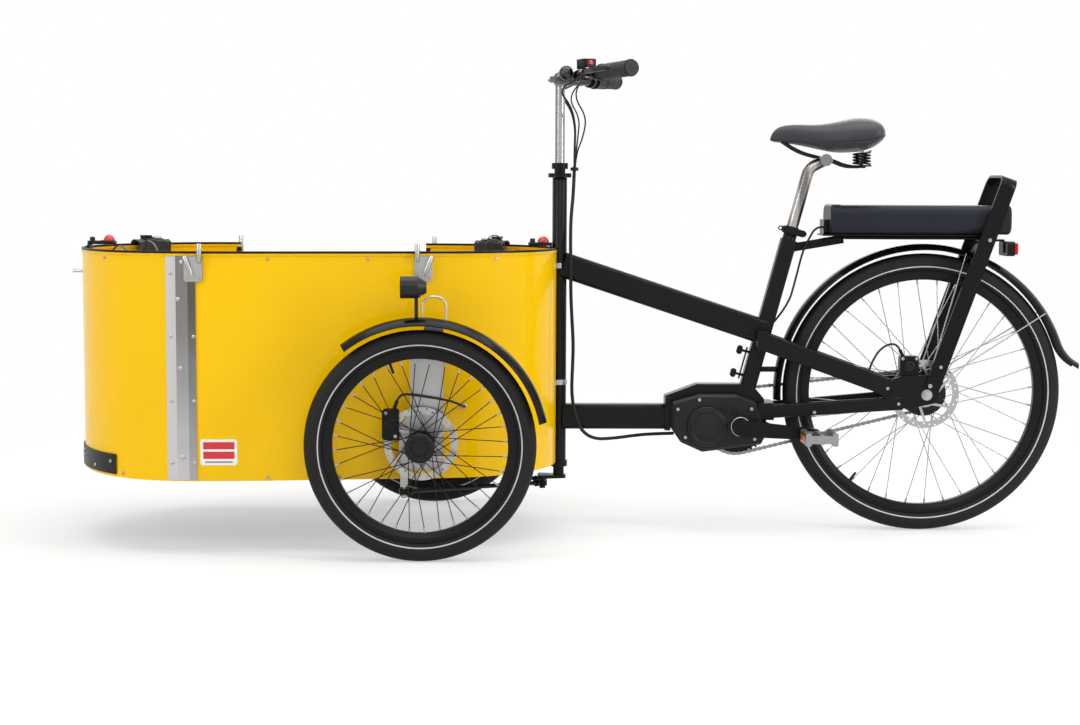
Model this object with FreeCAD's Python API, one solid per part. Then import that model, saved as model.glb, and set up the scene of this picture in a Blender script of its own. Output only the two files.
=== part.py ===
import FreeCAD, Part
import math
import os

# Cargo tricycle with two steered front wheels beside a fixed box, a mid motor and a chain drive.
# Millimetres. +Z up, front towards -X, the rider's left is -Y, origin on the floor at mid-length.
# Left-hand pieces are drawn, right-hand ones are their mirror image where the object is symmetric.

os.makedirs("parts", exist_ok=True)

V = FreeCAD.Vector
X_AXIS = V(1, 0, 0)
Y_AXIS = V(0, 1, 0)
Z_AXIS = V(0, 0, 1)

# Layout
REAR_AXLE_X = 812.0
WHEELBASE = 1161.0
TRACK = 820.0
COLUMN_TO_REAR_AXLE = 853.0
FRONT_AXLE_X = REAR_AXLE_X - WHEELBASE
COLUMN_X = REAR_AXLE_X - COLUMN_TO_REAR_AXLE
HALF_TRACK = TRACK / 2

# Wheels
REAR_WHEEL_RADIUS = 326.5
FRONT_WHEEL_RADIUS = 250.0
AXLE_BEAM_RISE = 18.5
AXLE_BEAM_Z = FRONT_WHEEL_RADIUS + AXLE_BEAM_RISE
TYRE_WIDTH = 47.0
TYRE_WALL = 4.0
RIM_WIDTH = 25.0
RIM_DEPTH = 14.5
RIM_WALL = 2.0
RIM_FLANGE = 6.0
FLANGE_THICKNESS = 2.5
BEAD_GAP = 0.5
VALVE_RADIUS = 3.0
VALVE_REACH = 22.0
SPOKES_PER_SIDE = 18
SPOKE_RADIUS = 1.0
SPOKE_STAGGER = 4.5
NIPPLE_RADIUS = 2.0
NIPPLE_LENGTH = 11.0
RIM_HOLE_OFFSET = 2.5
HUB_FLANGE_THICKNESS = 2.6
HUB_FLANGE_MARGIN = 3.0
RUNNING = 0.05
ROTOR_RADIUS = 80.0
ROTOR_THICKNESS = 2.0
ROTOR_BAND = 15.0
ROTOR_HOLES = 36
ROTOR_HOLE_RADIUS = 2.2
ROTOR_ARMS = 6

FRONT_HUB_FLANGE_RADIUS = 27.0
FRONT_HUB_FLANGE_AT = 28.0
FRONT_HUB_CAP_RADIUS = 32.0
FRONT_HUB_BARREL = 19.0
FRONT_HUB_INNER_END = 42.0
FRONT_HUB_OUTER_END = 44.0
FRONT_CROSSINGS = 3
STUB_AXLE_RADIUS = 10.0
FRONT_ROTOR_AT = 38.0
REAR_HUB_FLANGE_RADIUS = 50.0
REAR_HUB_FLANGE_AT = 30.0
REAR_HUB_SHELL = 45.0
REAR_CROSSINGS = 2
REAR_AXLE_RADIUS = 5.0
REAR_ROTOR_AT = -46.0

# Drive
CHAIN_PITCH = 12.7
CHAIN_LINKS = 100
CHAINRING_TEETH = 38
SPROCKET_TEETH = 24
SPROCKET_THICKNESS = 2.2
ROLLER_RADIUS = 3.85
ROLLER_CLEARANCE = 0.15
TOOTH_RISE = 3.6
TOOTH_TIP = 2.4
CHAIN_LINE = 48.0
LINK_PLATE = 1.0
LINK_HEIGHT = 8.6
INNER_WIDTH = 3.4
CRANK_Z = 250.0
CRANK_LENGTH = 170.0
CRANK_REST_ANGLE = 4.6
CRANK_FACE = 84.0
CRANK_THICKNESS = 14.0
SPINDLE_RADIUS = 9.0
PEDAL_WIDTH = 92.0
PEDAL_LENGTH = 74.0
PEDAL_HEIGHT = 30.0
PEDAL_AXLE_RADIUS = 6.0
PEDAL_GAP = 5.0

# Frame tubes
HEAD_TUBE_RADIUS = 17.0
HEAD_TUBE_BORE = 14.0
HEAD_TUBE_FOOT_Z = 150.0
HEAD_TUBE_TOP_Z = 826.0
HEADSET_CUP_RADIUS = 20.5
HEADSET_CUP_HEIGHT = 14.0
STEER_SHAFT_RADIUS = 12.7
TUBE_WIDTH = 40.0
TUBE_CORNER = 9.0
TUBE_WALL = 2.0
MAIN_TUBE_DEPTH = 59.0
MAIN_TUBE_FRONT_Z = 624.0
MAIN_TUBE_REAR_Z = 468.0
LOWER_TUBE_DEPTH = 59.0
SEAT_TUBE_SIZE = 37.0
SEAT_TUBE_CORNER = 6.0
SEAT_LID = 3.0
SEAT_TUBE_LEAN = 15.0
SEAT_TUBE_FOOT_Z = 317.0
SEAT_TUBE_BEHIND_CRANK = 15.5
SEAT_TUBE_LENGTH = 377.0
SEAT_SLEEVE_RADIUS = 16.0
SEAT_SLEEVE_RISE = 34.0
SEAT_SLEEVE_DEPTH = 130.0
SEAT_POST_RADIUS = 13.6
STAY_WIDTH = 14.0
SEAT_STAY_DEPTH = 42.0
CHAIN_STAY_DEPTH = 32.0
DROPOUT_INNER = 62.0
DROPOUT_THICKNESS = 8.0

# Steering
KINGPIN_Y = 330.0
KINGPIN_RADIUS = 8.0
KINGPIN_HOUSING_RADIUS = 18.0
KINGPIN_HOUSING_HEIGHT = 100.0
LUG_THICKNESS = 10.0
LUG_GAP = 0.3
UPRIGHT_THICKNESS = 6.0
ARM_FORWARD = 38.0
ARM_OUTWARD = 16.0
TIE_ROD_RADIUS = 5.0
TIE_EYE_RADIUS = 11.0
TIE_EYE_HEIGHT = 12.0
BALL_STUD_RADIUS = 4.0
STUD_CLEARANCE = 0.3
COLUMN_ARM_THICKNESS = 8.0
STEM_RADIUS = 11.1
STEM_FOOT_Z = 740.0
BAR_Z = 1052.0
BAR_RADIUS = 11.1
GRIP_RADIUS = 17.0
GRIP_LENGTH = 125.0
GRIP_END_Y = 312.0
GRIP_END_BEHIND_COLUMN = 146.0
GRIP_END_Z = 1063.0
BAR_STRAIGHT = 45.0

# Box
BOX_LENGTH = 1095.0
BOX_WIDTH = 672.0
BOX_BOTTOM_Z = 162.0
BOX_HEIGHT = 500.0
BOX_REAR_RADIUS = 285.0
BOX_COLUMN_STANDOFF = 7.0
NOSE_RADIUS = 372.0
SHOULDER_RADIUS = 249.0
SIDE_FLAT = 110.0
SIDE_BLEND_SHARE = 0.8
SHEET = 3.0
SHEET_END_Y = 20.0
SEAM_GAP = 0.6
SEAM_BEHIND_NOSE = 274.0
FLOOR_THICKNESS = 12.0
FLOOR_RECESS = 4.0
TRIM_THICKNESS = 1.6
TRIM_DEPTH = 9.0
ENTRY_BEHIND_SEAM = 41.0
ENTRY_AHEAD_OF_BACK = 29.0
ENTRY_DEPTH = 190.0
ENTRY_CORNER = 40.0
BENCH_HEIGHT = 190.0
BENCH_BOARD = 12.0
BENCH_GAP = 0.5
REAR_BENCH_AHEAD_OF_AXLE = 39.0
FRONT_BENCH_BEHIND_NOSE = 315.0
BEAM_DEPTH = 50.0


def block(x0, x1, y0, y1, z0, z1):
    return Part.makeBox(x1 - x0, y1 - y0, z1 - z0, V(x0, y0, z0))


def rod(start, end, radius):
    return Part.makeCylinder(radius, (end - start).Length, start, end - start)


def pipe(start, end, outer, inner):
    return rod(start, end, outer).cut(rod(start, end, inner))


def fuse(shapes):
    return shapes[0].multiFuse(shapes[1:]).removeSplitter() if len(shapes) > 1 else shapes[0]


def mirrored(shape):
    return shape.mirror(V(0, 0, 0), Y_AXIS)


def moved(shape, offset):
    copy = shape.copy()
    copy.translate(offset)
    return copy


def face_of(points):
    return Part.Face(Part.makePolygon(points + points[:1]))


def side_prism(outline, y0, y1):
    """Outline of (x, z) points pushed from y0 to y1."""
    return face_of([V(x, y0, z) for x, z in outline]).extrude(V(0, y1 - y0, 0))


def fillet_along(shape, axis, radius):
    """Rounds the straight edges that run along an axis."""
    edges = []
    for edge in shape.Edges:
        if edge.Curve.TypeId == "Part::GeomLine" and abs(abs(edge.Curve.Direction.dot(axis)) - 1) < 1e-6:
            edges.append(edge)
    return shape.makeFillet(radius, edges)


def revolved(profile, centre, degrees=360, start=0):
    """Turns a closed (width, radius) outline about a wheel axis along Y; angles count from +X towards +Z."""
    face = face_of([V(radius, width, 0) for width, radius in profile])
    solid = face.revolve(V(0, 0, 0), V(0, -1, 0), degrees)
    solid.rotate(V(0, 0, 0), V(0, -1, 0), start)
    return moved(solid, centre)


def wheel_point(centre, radius, degrees, width=0):
    angle = math.radians(degrees)
    return centre + V(radius * math.cos(angle), width, radius * math.sin(angle))


def along(start, end):
    """Placement whose Z runs from start to end and whose Y stays close to the trike's Y."""
    z_dir = (end - start).normalize()
    x_dir = Y_AXIS.cross(z_dir).normalize()
    y_dir = z_dir.cross(x_dir)
    matrix = FreeCAD.Matrix(
        x_dir.x, y_dir.x, z_dir.x, start.x,
        x_dir.y, y_dir.y, z_dir.y, start.y,
        x_dir.z, y_dir.z, z_dir.z, start.z,
        0, 0, 0, 1)
    return FreeCAD.Placement(matrix)


def rounded_face(depth, width, corner):
    plate = block(-depth / 2, depth / 2, -width / 2, width / 2, 0, 1)
    plate = fillet_along(plate, Z_AXIS, corner)
    for face in plate.Faces:
        if abs(face.CenterOfMass.z) < 1e-6:
            return face
    raise ValueError("no end face")


def rect_bar(start, end, depth, width, corner, wall=0):
    """Rounded rectangular bar or tube between two points, depth across the vertical plane."""
    face = rounded_face(depth, width, corner)
    if wall:
        face = face.cut(rounded_face(depth - 2 * wall, width - 2 * wall, corner - wall))
    bar = face.extrude(V(0, 0, (end - start).Length))
    bar = bar.Solids[0]
    bar.Placement = along(start, end)
    return bar


def cord(name, points, radius, bend=None, ribbon=None):
    """Tube, or ribbon of a width along Y, on straight runs with the largest arc that fits at each point."""
    edges = []
    radii = []
    cursor = points[0]
    for i in range(1, len(points) - 1):
        before = points[i] - points[i - 1]
        after = points[i + 1] - points[i]
        turn = before.getAngle(after)
        reach = 0.45 * min(before.Length, after.Length)
        if bend:
            reach = min(reach, bend * math.tan(turn / 2))
        radii.append(reach / math.tan(turn / 2))
        first = points[i] - V(before).normalize() * reach
        last = points[i] + V(after).normalize() * reach
        inward = (V(after).normalize() - V(before).normalize()).normalize()
        sagitta = radii[-1] * (1 / math.cos(turn / 2) - 1)
        middle = points[i] + inward * sagitta
        edges.append(Part.LineSegment(cursor, first).toShape())
        edges.append(Part.Arc(first, middle, last).toShape())
        cursor = last
    edges.append(Part.LineSegment(cursor, points[-1]).toShape())
    path = Part.Wire(edges)
    if ribbon:
        across = Y_AXIS.cross(points[1] - points[0]).normalize() * radius
        edge = Y_AXIS * (ribbon / 2)
        start = points[0]
        corners = [start - across - edge, start + across - edge, start + across + edge, start - across + edge]
        section = Part.makePolygon(corners + corners[:1])
        area = 2 * radius * ribbon
    else:
        section = Part.Wire([Part.Circle(points[0], points[1] - points[0], radius).toShape()])
        area = math.pi * radius ** 2
    tube = path.makePipeShell([section], True, False)
    share = tube.Volume / (area * path.Length)
    tightest = min(radii) if radii else 0
    print(f"{name}: least radius {tightest:.0f} mm, volume over section times length {share:.4f}")
    return tube.Solids[0]


def coped(bar, *posts):
    """Bar trimmed to the faces of the posts it meets; the largest piece is kept."""
    for post in posts:
        bar = bar.cut(post)
    return max(bar.Solids, key=lambda solid: solid.Volume)


def save(name, shapes):
    shape = shapes[0] if len(shapes) == 1 else Part.makeCompound(shapes)
    shape.exportStep(f"parts/{name}.step")


# Wheels

def tyre_outline(half_width, half_bead, radius, bead, lip):
    """Closed section of a tyre, from its bead line to its tread, as a face in the XY plane."""
    middle = radius - TYRE_WIDTH / 2
    rise = radius - middle if half_width == TYRE_WIDTH / 2 else half_width
    crown = middle + rise
    swell = half_width - half_bead
    drop = middle - lip
    wall_radius = (swell ** 2 + drop ** 2) / (2 * swell)
    half_turn = math.asin(drop / wall_radius) / 2
    diagonal = math.sqrt(0.5)
    edges = []
    for side in (-1, 1):
        foot = V(bead, side * half_bead, 0)
        lip_point = V(lip, side * half_bead, 0)
        bulge = V(middle, side * half_width, 0)
        low = V(middle - wall_radius * math.sin(half_turn),
                side * (half_width - wall_radius * (1 - math.cos(half_turn))), 0)
        high = V(middle + rise * diagonal, side * half_width * diagonal, 0)
        edges.append(Part.LineSegment(foot, lip_point).toShape())
        edges.append(Part.Arc(lip_point, low, bulge).toShape())
        edges.append(Part.Arc(bulge, high, V(crown, 0, 0)).toShape())
    edges.append(Part.LineSegment(V(bead, -half_bead, 0), V(bead, half_bead, 0)).toShape())
    return Part.Face(Part.Wire(Part.__sortEdges__(edges)))


def tyre(radius, centre):
    bead = radius - TYRE_WIDTH
    lip = bead + RIM_FLANGE + BEAD_GAP
    half_bead = RIM_WIDTH / 2 - FLANGE_THICKNESS - BEAD_GAP
    outer = tyre_outline(TYRE_WIDTH / 2, half_bead, radius, bead, lip)
    inner = tyre_outline(TYRE_WIDTH / 2 - TYRE_WALL, half_bead - TYRE_WALL, radius, bead, lip)
    casing = outer.cut(inner)
    solid = casing.revolve(V(0, 0, 0), V(0, -1, 0), 360)
    return moved(solid.Solids[0], centre)


def rim_inner_radius(radius):
    return radius - TYRE_WIDTH - RIM_DEPTH


def rim(radius, centre, valve_degrees):
    bead = radius - TYRE_WIDTH
    inner = rim_inner_radius(radius)
    half = RIM_WIDTH / 2
    seat = half - FLANGE_THICKNESS
    bed = half * 0.62
    waist = bead - RIM_DEPTH * 0.25
    outline = [(-half, bead + RIM_FLANGE), (-seat, bead + RIM_FLANGE), (-seat, bead), (seat, bead),
               (seat, bead + RIM_FLANGE), (half, bead + RIM_FLANGE), (half, waist), (bed, inner),
               (-bed, inner), (-half, waist)]
    chamber = [(-seat, bead - RIM_WALL), (seat, bead - RIM_WALL), (seat, waist),
               (bed - RIM_WALL, inner + RIM_WALL), (RIM_WALL - bed, inner + RIM_WALL), (-seat, waist)]
    ring = revolved(outline, centre).cut(revolved(chamber, centre))
    hole = rod(wheel_point(centre, inner - 1, valve_degrees), wheel_point(centre, bead + 1, valve_degrees),
               VALVE_RADIUS + RUNNING)
    valve = rod(wheel_point(centre, inner - VALVE_REACH, valve_degrees),
                wheel_point(centre, bead, valve_degrees), VALVE_RADIUS)
    return [ring.cut(hole), valve]


def spokes(radius, centre, flange_radius, flange_at, crossings, phase):
    """Laced spokes: on each flange neighbours lean opposite ways and pass on opposite faces of the flange."""
    inner = rim_inner_radius(radius)
    step = 360.0 / SPOKES_PER_SIDE
    half = Y_AXIS * RIM_WIDTH
    bed = pipe(centre - half, centre + half, inner + RIM_DEPTH, inner)
    laced = []
    for side in (-1, 1):
        for k in range(SPOKES_PER_SIDE):
            lean = 1 if k % 2 == 0 else -1
            hub_degrees = phase + k * step + (step / 2 if side > 0 else 0)
            rim_degrees = hub_degrees + lean * crossings * step
            face_at = side * flange_at + lean * HUB_FLANGE_THICKNESS / 2
            elbow = wheel_point(centre, flange_radius, hub_degrees, side * flange_at + lean * SPOKE_STAGGER)
            seat = wheel_point(centre, flange_radius, hub_degrees, face_at)
            end = wheel_point(centre, inner, rim_degrees, side * RIM_HOLE_OFFSET)
            pull = (end - elbow).normalize()
            sunk = end + pull * NIPPLE_RADIUS
            wire = fuse([rod(elbow, sunk, SPOKE_RADIUS), rod(seat, elbow, SPOKE_RADIUS),
                         rod(end - pull * NIPPLE_LENGTH, sunk, NIPPLE_RADIUS)])
            laced.append(coped(wire, bed))
    return laced


def rotor(centre, at, hub_radius):
    """Brake disc: drilled band on swept arms round a drilled carrier."""
    low = centre + V(0, at - ROTOR_THICKNESS / 2, 0)
    high = centre + V(0, at + ROTOR_THICKNESS / 2, 0)
    band = pipe(low, high, ROTOR_RADIUS, ROTOR_RADIUS - ROTOR_BAND)
    carrier = pipe(low, high, hub_radius + 9, hub_radius)
    shapes = [band, carrier]
    for i in range(ROTOR_ARMS):
        turn = 360.0 * i / ROTOR_ARMS
        root = wheel_point(low, hub_radius + 4, turn)
        tip = wheel_point(low, ROTOR_RADIUS - ROTOR_BAND / 2, turn + 34)
        side = Y_AXIS.cross(tip - root).normalize() * 3.2
        arm = face_of([root - side, root + side, tip + side * 0.8, tip - side * 0.8])
        shapes.append(arm.extrude(V(0, ROTOR_THICKNESS, 0)))
    disc = fuse(shapes)
    for i in range(ROTOR_HOLES):
        row = (i % 3 - 1) * 4.2
        spot = wheel_point(low, ROTOR_RADIUS - ROTOR_BAND / 2 + row, 360.0 * i / ROTOR_HOLES)
        disc = disc.cut(rod(spot - Y_AXIS, spot + Y_AXIS * (ROTOR_THICKNESS + 1), ROTOR_HOLE_RADIUS))
    return disc


def front_hub(centre):
    half = HUB_FLANGE_THICKNESS / 2
    flange = FRONT_HUB_FLANGE_RADIUS + HUB_FLANGE_MARGIN
    barrel = FRONT_HUB_BARREL
    bore = STUB_AXLE_RADIUS + RUNNING
    at = FRONT_HUB_FLANGE_AT
    outer_end = FRONT_HUB_OUTER_END
    cap = FRONT_HUB_CAP_RADIUS
    profile = [(FRONT_HUB_INNER_END, bore), (FRONT_HUB_INNER_END, barrel + 3),
               (FRONT_ROTOR_AT - ROTOR_THICKNESS / 2, barrel + 3),
               (FRONT_ROTOR_AT - ROTOR_THICKNESS / 2, flange),
               (at + half + SPOKE_STAGGER + 1, flange), (at + half + SPOKE_STAGGER + 1, barrel),
               (at + half, barrel), (at + half, flange), (at - half, flange), (at - half, barrel),
               (half - at, barrel), (half - at, flange), (-half - at, flange), (-half - at, barrel),
               (-at - 7, barrel), (-at - 8, cap - 2), (-at - 10, cap), (3 - outer_end, cap),
               (-outer_end, cap - 3), (-outer_end, cap * 0.55), (-outer_end - 4, cap * 0.55 - 3),
               (-outer_end - 4, 0.01), (9 - outer_end, 0.01), (9 - outer_end, bore)]
    return revolved(profile, centre)


def rear_hub(centre):
    half = HUB_FLANGE_THICKNESS / 2
    flange = REAR_HUB_FLANGE_RADIUS + HUB_FLANGE_MARGIN
    shell = REAR_HUB_SHELL
    bore = REAR_AXLE_RADIUS + RUNNING
    at = REAR_HUB_FLANGE_AT
    rotor_face = REAR_ROTOR_AT + ROTOR_THICKNESS / 2
    profile = [(at + 12, bore), (at + 12, shell * 0.45), (at + 6, shell - 6), (at + half, shell - 6),
               (at + half, flange), (at - half, flange), (at - half, shell), (half - at, shell),
               (half - at, flange), (-half - at, flange), (-half - at, shell - 6), (-at - 7, shell - 6),
               (-at - 8, shell * 0.62), (rotor_face, shell * 0.62), (rotor_face, 22),
               (rotor_face - ROTOR_THICKNESS - 4, 22), (rotor_face - ROTOR_THICKNESS - 4, bore)]
    return revolved(profile, centre)


LEFT_FRONT_CENTRE = V(FRONT_AXLE_X, -HALF_TRACK, FRONT_WHEEL_RADIUS)
REAR_CENTRE = V(REAR_AXLE_X, 0, REAR_WHEEL_RADIUS)


def wheels():
    centre = LEFT_FRONT_CENTRE
    front = {
        "tyre": [tyre(FRONT_WHEEL_RADIUS, centre)],
        "rim": rim(FRONT_WHEEL_RADIUS, centre, 110),
        "spokes": spokes(FRONT_WHEEL_RADIUS, centre, FRONT_HUB_FLANGE_RADIUS, FRONT_HUB_FLANGE_AT,
                         FRONT_CROSSINGS, 3),
        "hub": [front_hub(centre)],
        "rotor": [rotor(centre, FRONT_ROTOR_AT, FRONT_HUB_BARREL + 3)],
    }
    for piece, solids in front.items():
        save(f"left_{piece}", solids)
        save(f"right_{piece}", [mirrored(solid) for solid in solids])
    save("rear_tyre", [tyre(REAR_WHEEL_RADIUS, REAR_CENTRE)])
    save("rear_rim", rim(REAR_WHEEL_RADIUS, REAR_CENTRE, 232))
    save("rear_spokes", spokes(REAR_WHEEL_RADIUS, REAR_CENTRE, REAR_HUB_FLANGE_RADIUS, REAR_HUB_FLANGE_AT,
                               REAR_CROSSINGS, 3))
    save("rear_hub", [rear_hub(REAR_CENTRE)])
    save("rear_rotor", [rotor(REAR_CENTRE, REAR_ROTOR_AT, 22)])


# Drive

def pitch_radius(teeth):
    return CHAIN_PITCH / (2 * math.sin(math.pi / teeth))


def chain_parts(distance):
    """Angle of the straight runs' normals to the line of centres, and the four stretches in pitches."""
    gamma = math.acos((pitch_radius(CHAINRING_TEETH) - pitch_radius(SPROCKET_TEETH)) / distance)
    run = distance * math.sin(gamma) / CHAIN_PITCH
    front = CHAINRING_TEETH * (math.pi - gamma) / math.pi
    rear = SPROCKET_TEETH * gamma / math.pi
    return gamma, front, run, rear


def centre_distance():
    """Distance from crank to rear axle at which the chain closes with a whole number of links."""
    low, high = CHAIN_LINKS * CHAIN_PITCH / 4, CHAIN_LINKS * CHAIN_PITCH / 2
    for _ in range(60):
        middle = (low + high) / 2
        gamma, front, run, rear = chain_parts(middle)
        if front + rear + 2 * run > CHAIN_LINKS:
            high = middle
        else:
            low = middle
    return middle


CENTRE_DISTANCE = centre_distance()
AXLE_RISE = REAR_WHEEL_RADIUS - CRANK_Z
CRANK_X = REAR_AXLE_X - math.sqrt(CENTRE_DISTANCE ** 2 - AXLE_RISE ** 2)
CRANK_CENTRE = V(CRANK_X, 0, CRANK_Z)
CHAIN_SLOPE = math.asin(AXLE_RISE / CENTRE_DISTANCE)


def chain_pin(position):
    """Place of the chain at a count of pitches from the top of the chainring, forwards and round."""
    gamma, front, run, rear = chain_parts(CENTRE_DISTANCE)
    big, small = pitch_radius(CHAINRING_TEETH), pitch_radius(SPROCKET_TEETH)
    line = V(0, CHAIN_LINE, 0)

    def on(centre, radius, angle):
        return centre + line + V(radius * math.cos(angle), 0, radius * math.sin(angle))

    if position < front:
        return on(CRANK_CENTRE, big, CHAIN_SLOPE + gamma + 2 * math.pi * position / CHAINRING_TEETH)
    position -= front
    if position < run:
        start = on(CRANK_CENTRE, big, CHAIN_SLOPE - gamma)
        return start + (on(REAR_CENTRE, small, CHAIN_SLOPE - gamma) - start) * (position / run)
    position -= run
    if position < rear:
        return on(REAR_CENTRE, small, CHAIN_SLOPE - gamma + 2 * math.pi * position / SPROCKET_TEETH)
    position -= rear
    start = on(REAR_CENTRE, small, CHAIN_SLOPE + gamma)
    return start + (on(CRANK_CENTRE, big, CHAIN_SLOPE + gamma) - start) * (position / run)


def link_plate(width_at, hole):
    """Waisted plate of one link, from its first pin at the origin to its second along X."""
    radius = LINK_HEIGHT / 2
    low = V(0, width_at, 0)
    far = V(CHAIN_PITCH, width_at, 0)
    thick = V(0, LINK_PLATE, 0)
    waist = block(0, CHAIN_PITCH, width_at, width_at + LINK_PLATE, -radius * 0.7, radius * 0.7)
    plate = fuse([rod(low, low + thick, radius), rod(far, far + thick, radius), waist])
    if hole:
        plate = plate.cut(rod(low, low + thick, hole)).cut(rod(far, far + thick, hole))
    return plate


def chain():
    pin = ROLLER_RADIUS * 0.45
    bore = pin + RUNNING
    half = INNER_WIDTH / 2
    outer_at = half + LINK_PLATE + 0.15
    ends = (V(0, 0, 0), V(CHAIN_PITCH, 0, 0))
    inner = [link_plate(half, bore), link_plate(-half - LINK_PLATE, bore)]
    outer = [link_plate(outer_at, 0), link_plate(-outer_at - LINK_PLATE, 0)]
    for end in ends:
        inner.append(pipe(end - Y_AXIS * half, end + Y_AXIS * half, ROLLER_RADIUS, bore))
        outer.append(rod(end - Y_AXIS * outer_at, end + Y_AXIS * outer_at, pin))
    templates = [fuse(inner), fuse(outer)]
    links = []
    for i in range(CHAIN_LINKS):
        start = chain_pin(i)
        direction = chain_pin((i + 1) % CHAIN_LINKS) - start
        link = templates[i % 2].copy()
        link.rotate(V(0, 0, 0), Y_AXIS, -math.degrees(math.atan2(direction.z, direction.x)))
        link.translate(start)
        links.append(link)
    return links


def toothed_disc(teeth, centre, phase, inner_radius):
    """Sprocket blank with a round seat for each roller and straight flanks to flat tooth tips."""
    pitch_r = pitch_radius(teeth)
    seat = ROLLER_RADIUS + ROLLER_CLEARANCE
    step = 2 * math.pi / teeth
    tip_r = pitch_r + TOOTH_RISE
    tip_half = TOOTH_TIP / 2 / tip_r
    edges = []

    def spot(radius, angle):
        return V(radius * math.cos(angle), 0, radius * math.sin(angle))

    for i in range(teeth):
        angle = phase + i * step
        radial, tangent = spot(1, angle), spot(1, angle + math.pi / 2)
        pin = spot(pitch_r, angle)
        low = pin - tangent * seat * math.sin(math.pi / 3) - radial * seat / 2
        high = pin + tangent * seat * math.sin(math.pi / 3) - radial * seat / 2
        edges.append(Part.Arc(low, pin - radial * seat, high).toShape())
        rise = spot(tip_r, angle + step / 2 - tip_half)
        fall = spot(tip_r, angle + step / 2 + tip_half)
        after = spot(pitch_r, angle + step)
        after_tangent, after_radial = spot(1, angle + step + math.pi / 2), spot(1, angle + step)
        after_low = after - after_tangent * seat * math.sin(math.pi / 3) - after_radial * seat / 2
        edges.append(Part.LineSegment(high, rise).toShape())
        edges.append(Part.LineSegment(rise, fall).toShape())
        edges.append(Part.LineSegment(fall, after_low).toShape())
    disc = Part.Face(Part.Wire(Part.__sortEdges__(edges))).extrude(V(0, SPROCKET_THICKNESS, 0))
    disc.translate(centre + V(0, CHAIN_LINE - SPROCKET_THICKNESS / 2, 0))
    axis = centre + V(0, CHAIN_LINE, 0)
    return disc.cut(rod(axis - Y_AXIS * 10, axis + Y_AXIS * 10, inner_radius))


def chainring():
    """Toothed ring on five arms round the spindle's boss."""
    gamma = chain_parts(CENTRE_DISTANCE)[0]
    rim_inner = pitch_radius(CHAINRING_TEETH) - 16
    ring = toothed_disc(CHAINRING_TEETH, CRANK_CENTRE, CHAIN_SLOPE + gamma, rim_inner)
    low = CRANK_CENTRE + V(0, CHAIN_LINE - SPROCKET_THICKNESS / 2, 0)
    high = low + V(0, SPROCKET_THICKNESS, 0)
    shapes = [ring, pipe(low, high, SPINDLE_RADIUS + 13, SPINDLE_RADIUS)]
    for i in range(5):
        root = wheel_point(low, SPINDLE_RADIUS + 8, 72 * i + 20)
        tip = wheel_point(low, rim_inner + 4, 72 * i + 20)
        side = Y_AXIS.cross(tip - root).normalize()
        arm = face_of([root - side * 9, root + side * 9, tip + side * 6, tip - side * 6])
        shapes.append(arm.extrude(V(0, SPROCKET_THICKNESS, 0)))
    return fuse(shapes)


def rear_sprocket():
    gamma, front, run, rear = chain_parts(CENTRE_DISTANCE)
    first = math.ceil(front + run) - (front + run)
    phase = CHAIN_SLOPE - gamma + 2 * math.pi * first / SPROCKET_TEETH
    disc = toothed_disc(SPROCKET_TEETH, REAR_CENTRE, phase, REAR_AXLE_RADIUS + RUNNING)
    low = REAR_CENTRE + V(0, REAR_HUB_FLANGE_AT + 12.3, 0)
    high = REAR_CENTRE + V(0, CHAIN_LINE + 6, 0)
    boss = pipe(low, high, 19, REAR_AXLE_RADIUS + RUNNING)
    return fuse([disc, boss])


def tapered_arm(root, tip, root_radius, tip_radius, y0, y1):
    """Flat arm with round ends of two sizes joined by tangent flanks."""
    span = tip - root
    length = span.Length
    base = math.atan2(span.z, span.x)
    spread = math.acos((root_radius - tip_radius) / length)
    shapes = []
    for centre, radius in ((root, root_radius), (tip, tip_radius)):
        shapes.append(rod(V(centre.x, y0, centre.z), V(centre.x, y1, centre.z), radius))
    corners = []
    for centre, radius, sign in ((root, root_radius, 1), (tip, tip_radius, 1),
                                 (tip, tip_radius, -1), (root, root_radius, -1)):
        angle = base + sign * spread
        corners.append((centre.x + radius * math.cos(angle), centre.z + radius * math.sin(angle)))
    shapes.append(side_prism(corners, y0, y1))
    return fuse(shapes)


def pedal_centre(side):
    """Left crank (side -1) points back at rest, the right one forward."""
    degrees = -CRANK_REST_ANGLE if side < 0 else 180 - CRANK_REST_ANGLE
    return wheel_point(CRANK_CENTRE, CRANK_LENGTH, degrees)


def crankset():
    """Spindle, both arms with their pedal axles, and the chainring."""
    outer = CRANK_FACE + CRANK_THICKNESS
    solids = [rod(CRANK_CENTRE - Y_AXIS * CRANK_FACE, CRANK_CENTRE + Y_AXIS * CRANK_FACE, SPINDLE_RADIUS)]
    for side in (-1, 1):
        pedal = pedal_centre(side)
        y0, y1 = sorted((side * CRANK_FACE, side * outer))
        arm = tapered_arm(CRANK_CENTRE, pedal, 19, 13, y0, y1)
        axle_end = side * (outer + PEDAL_GAP + PEDAL_WIDTH - 6)
        axle = rod(V(pedal.x, side * outer, pedal.z), V(pedal.x, axle_end, pedal.z), PEDAL_AXLE_RADIUS)
        cap = CRANK_CENTRE + V(0, side * outer, 0)
        bolt = rod(cap, cap + V(0, side * 2, 0), 8)
        solids.append(fuse([arm, axle, bolt]))
    solids.append(chainring())
    return solids


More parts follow.
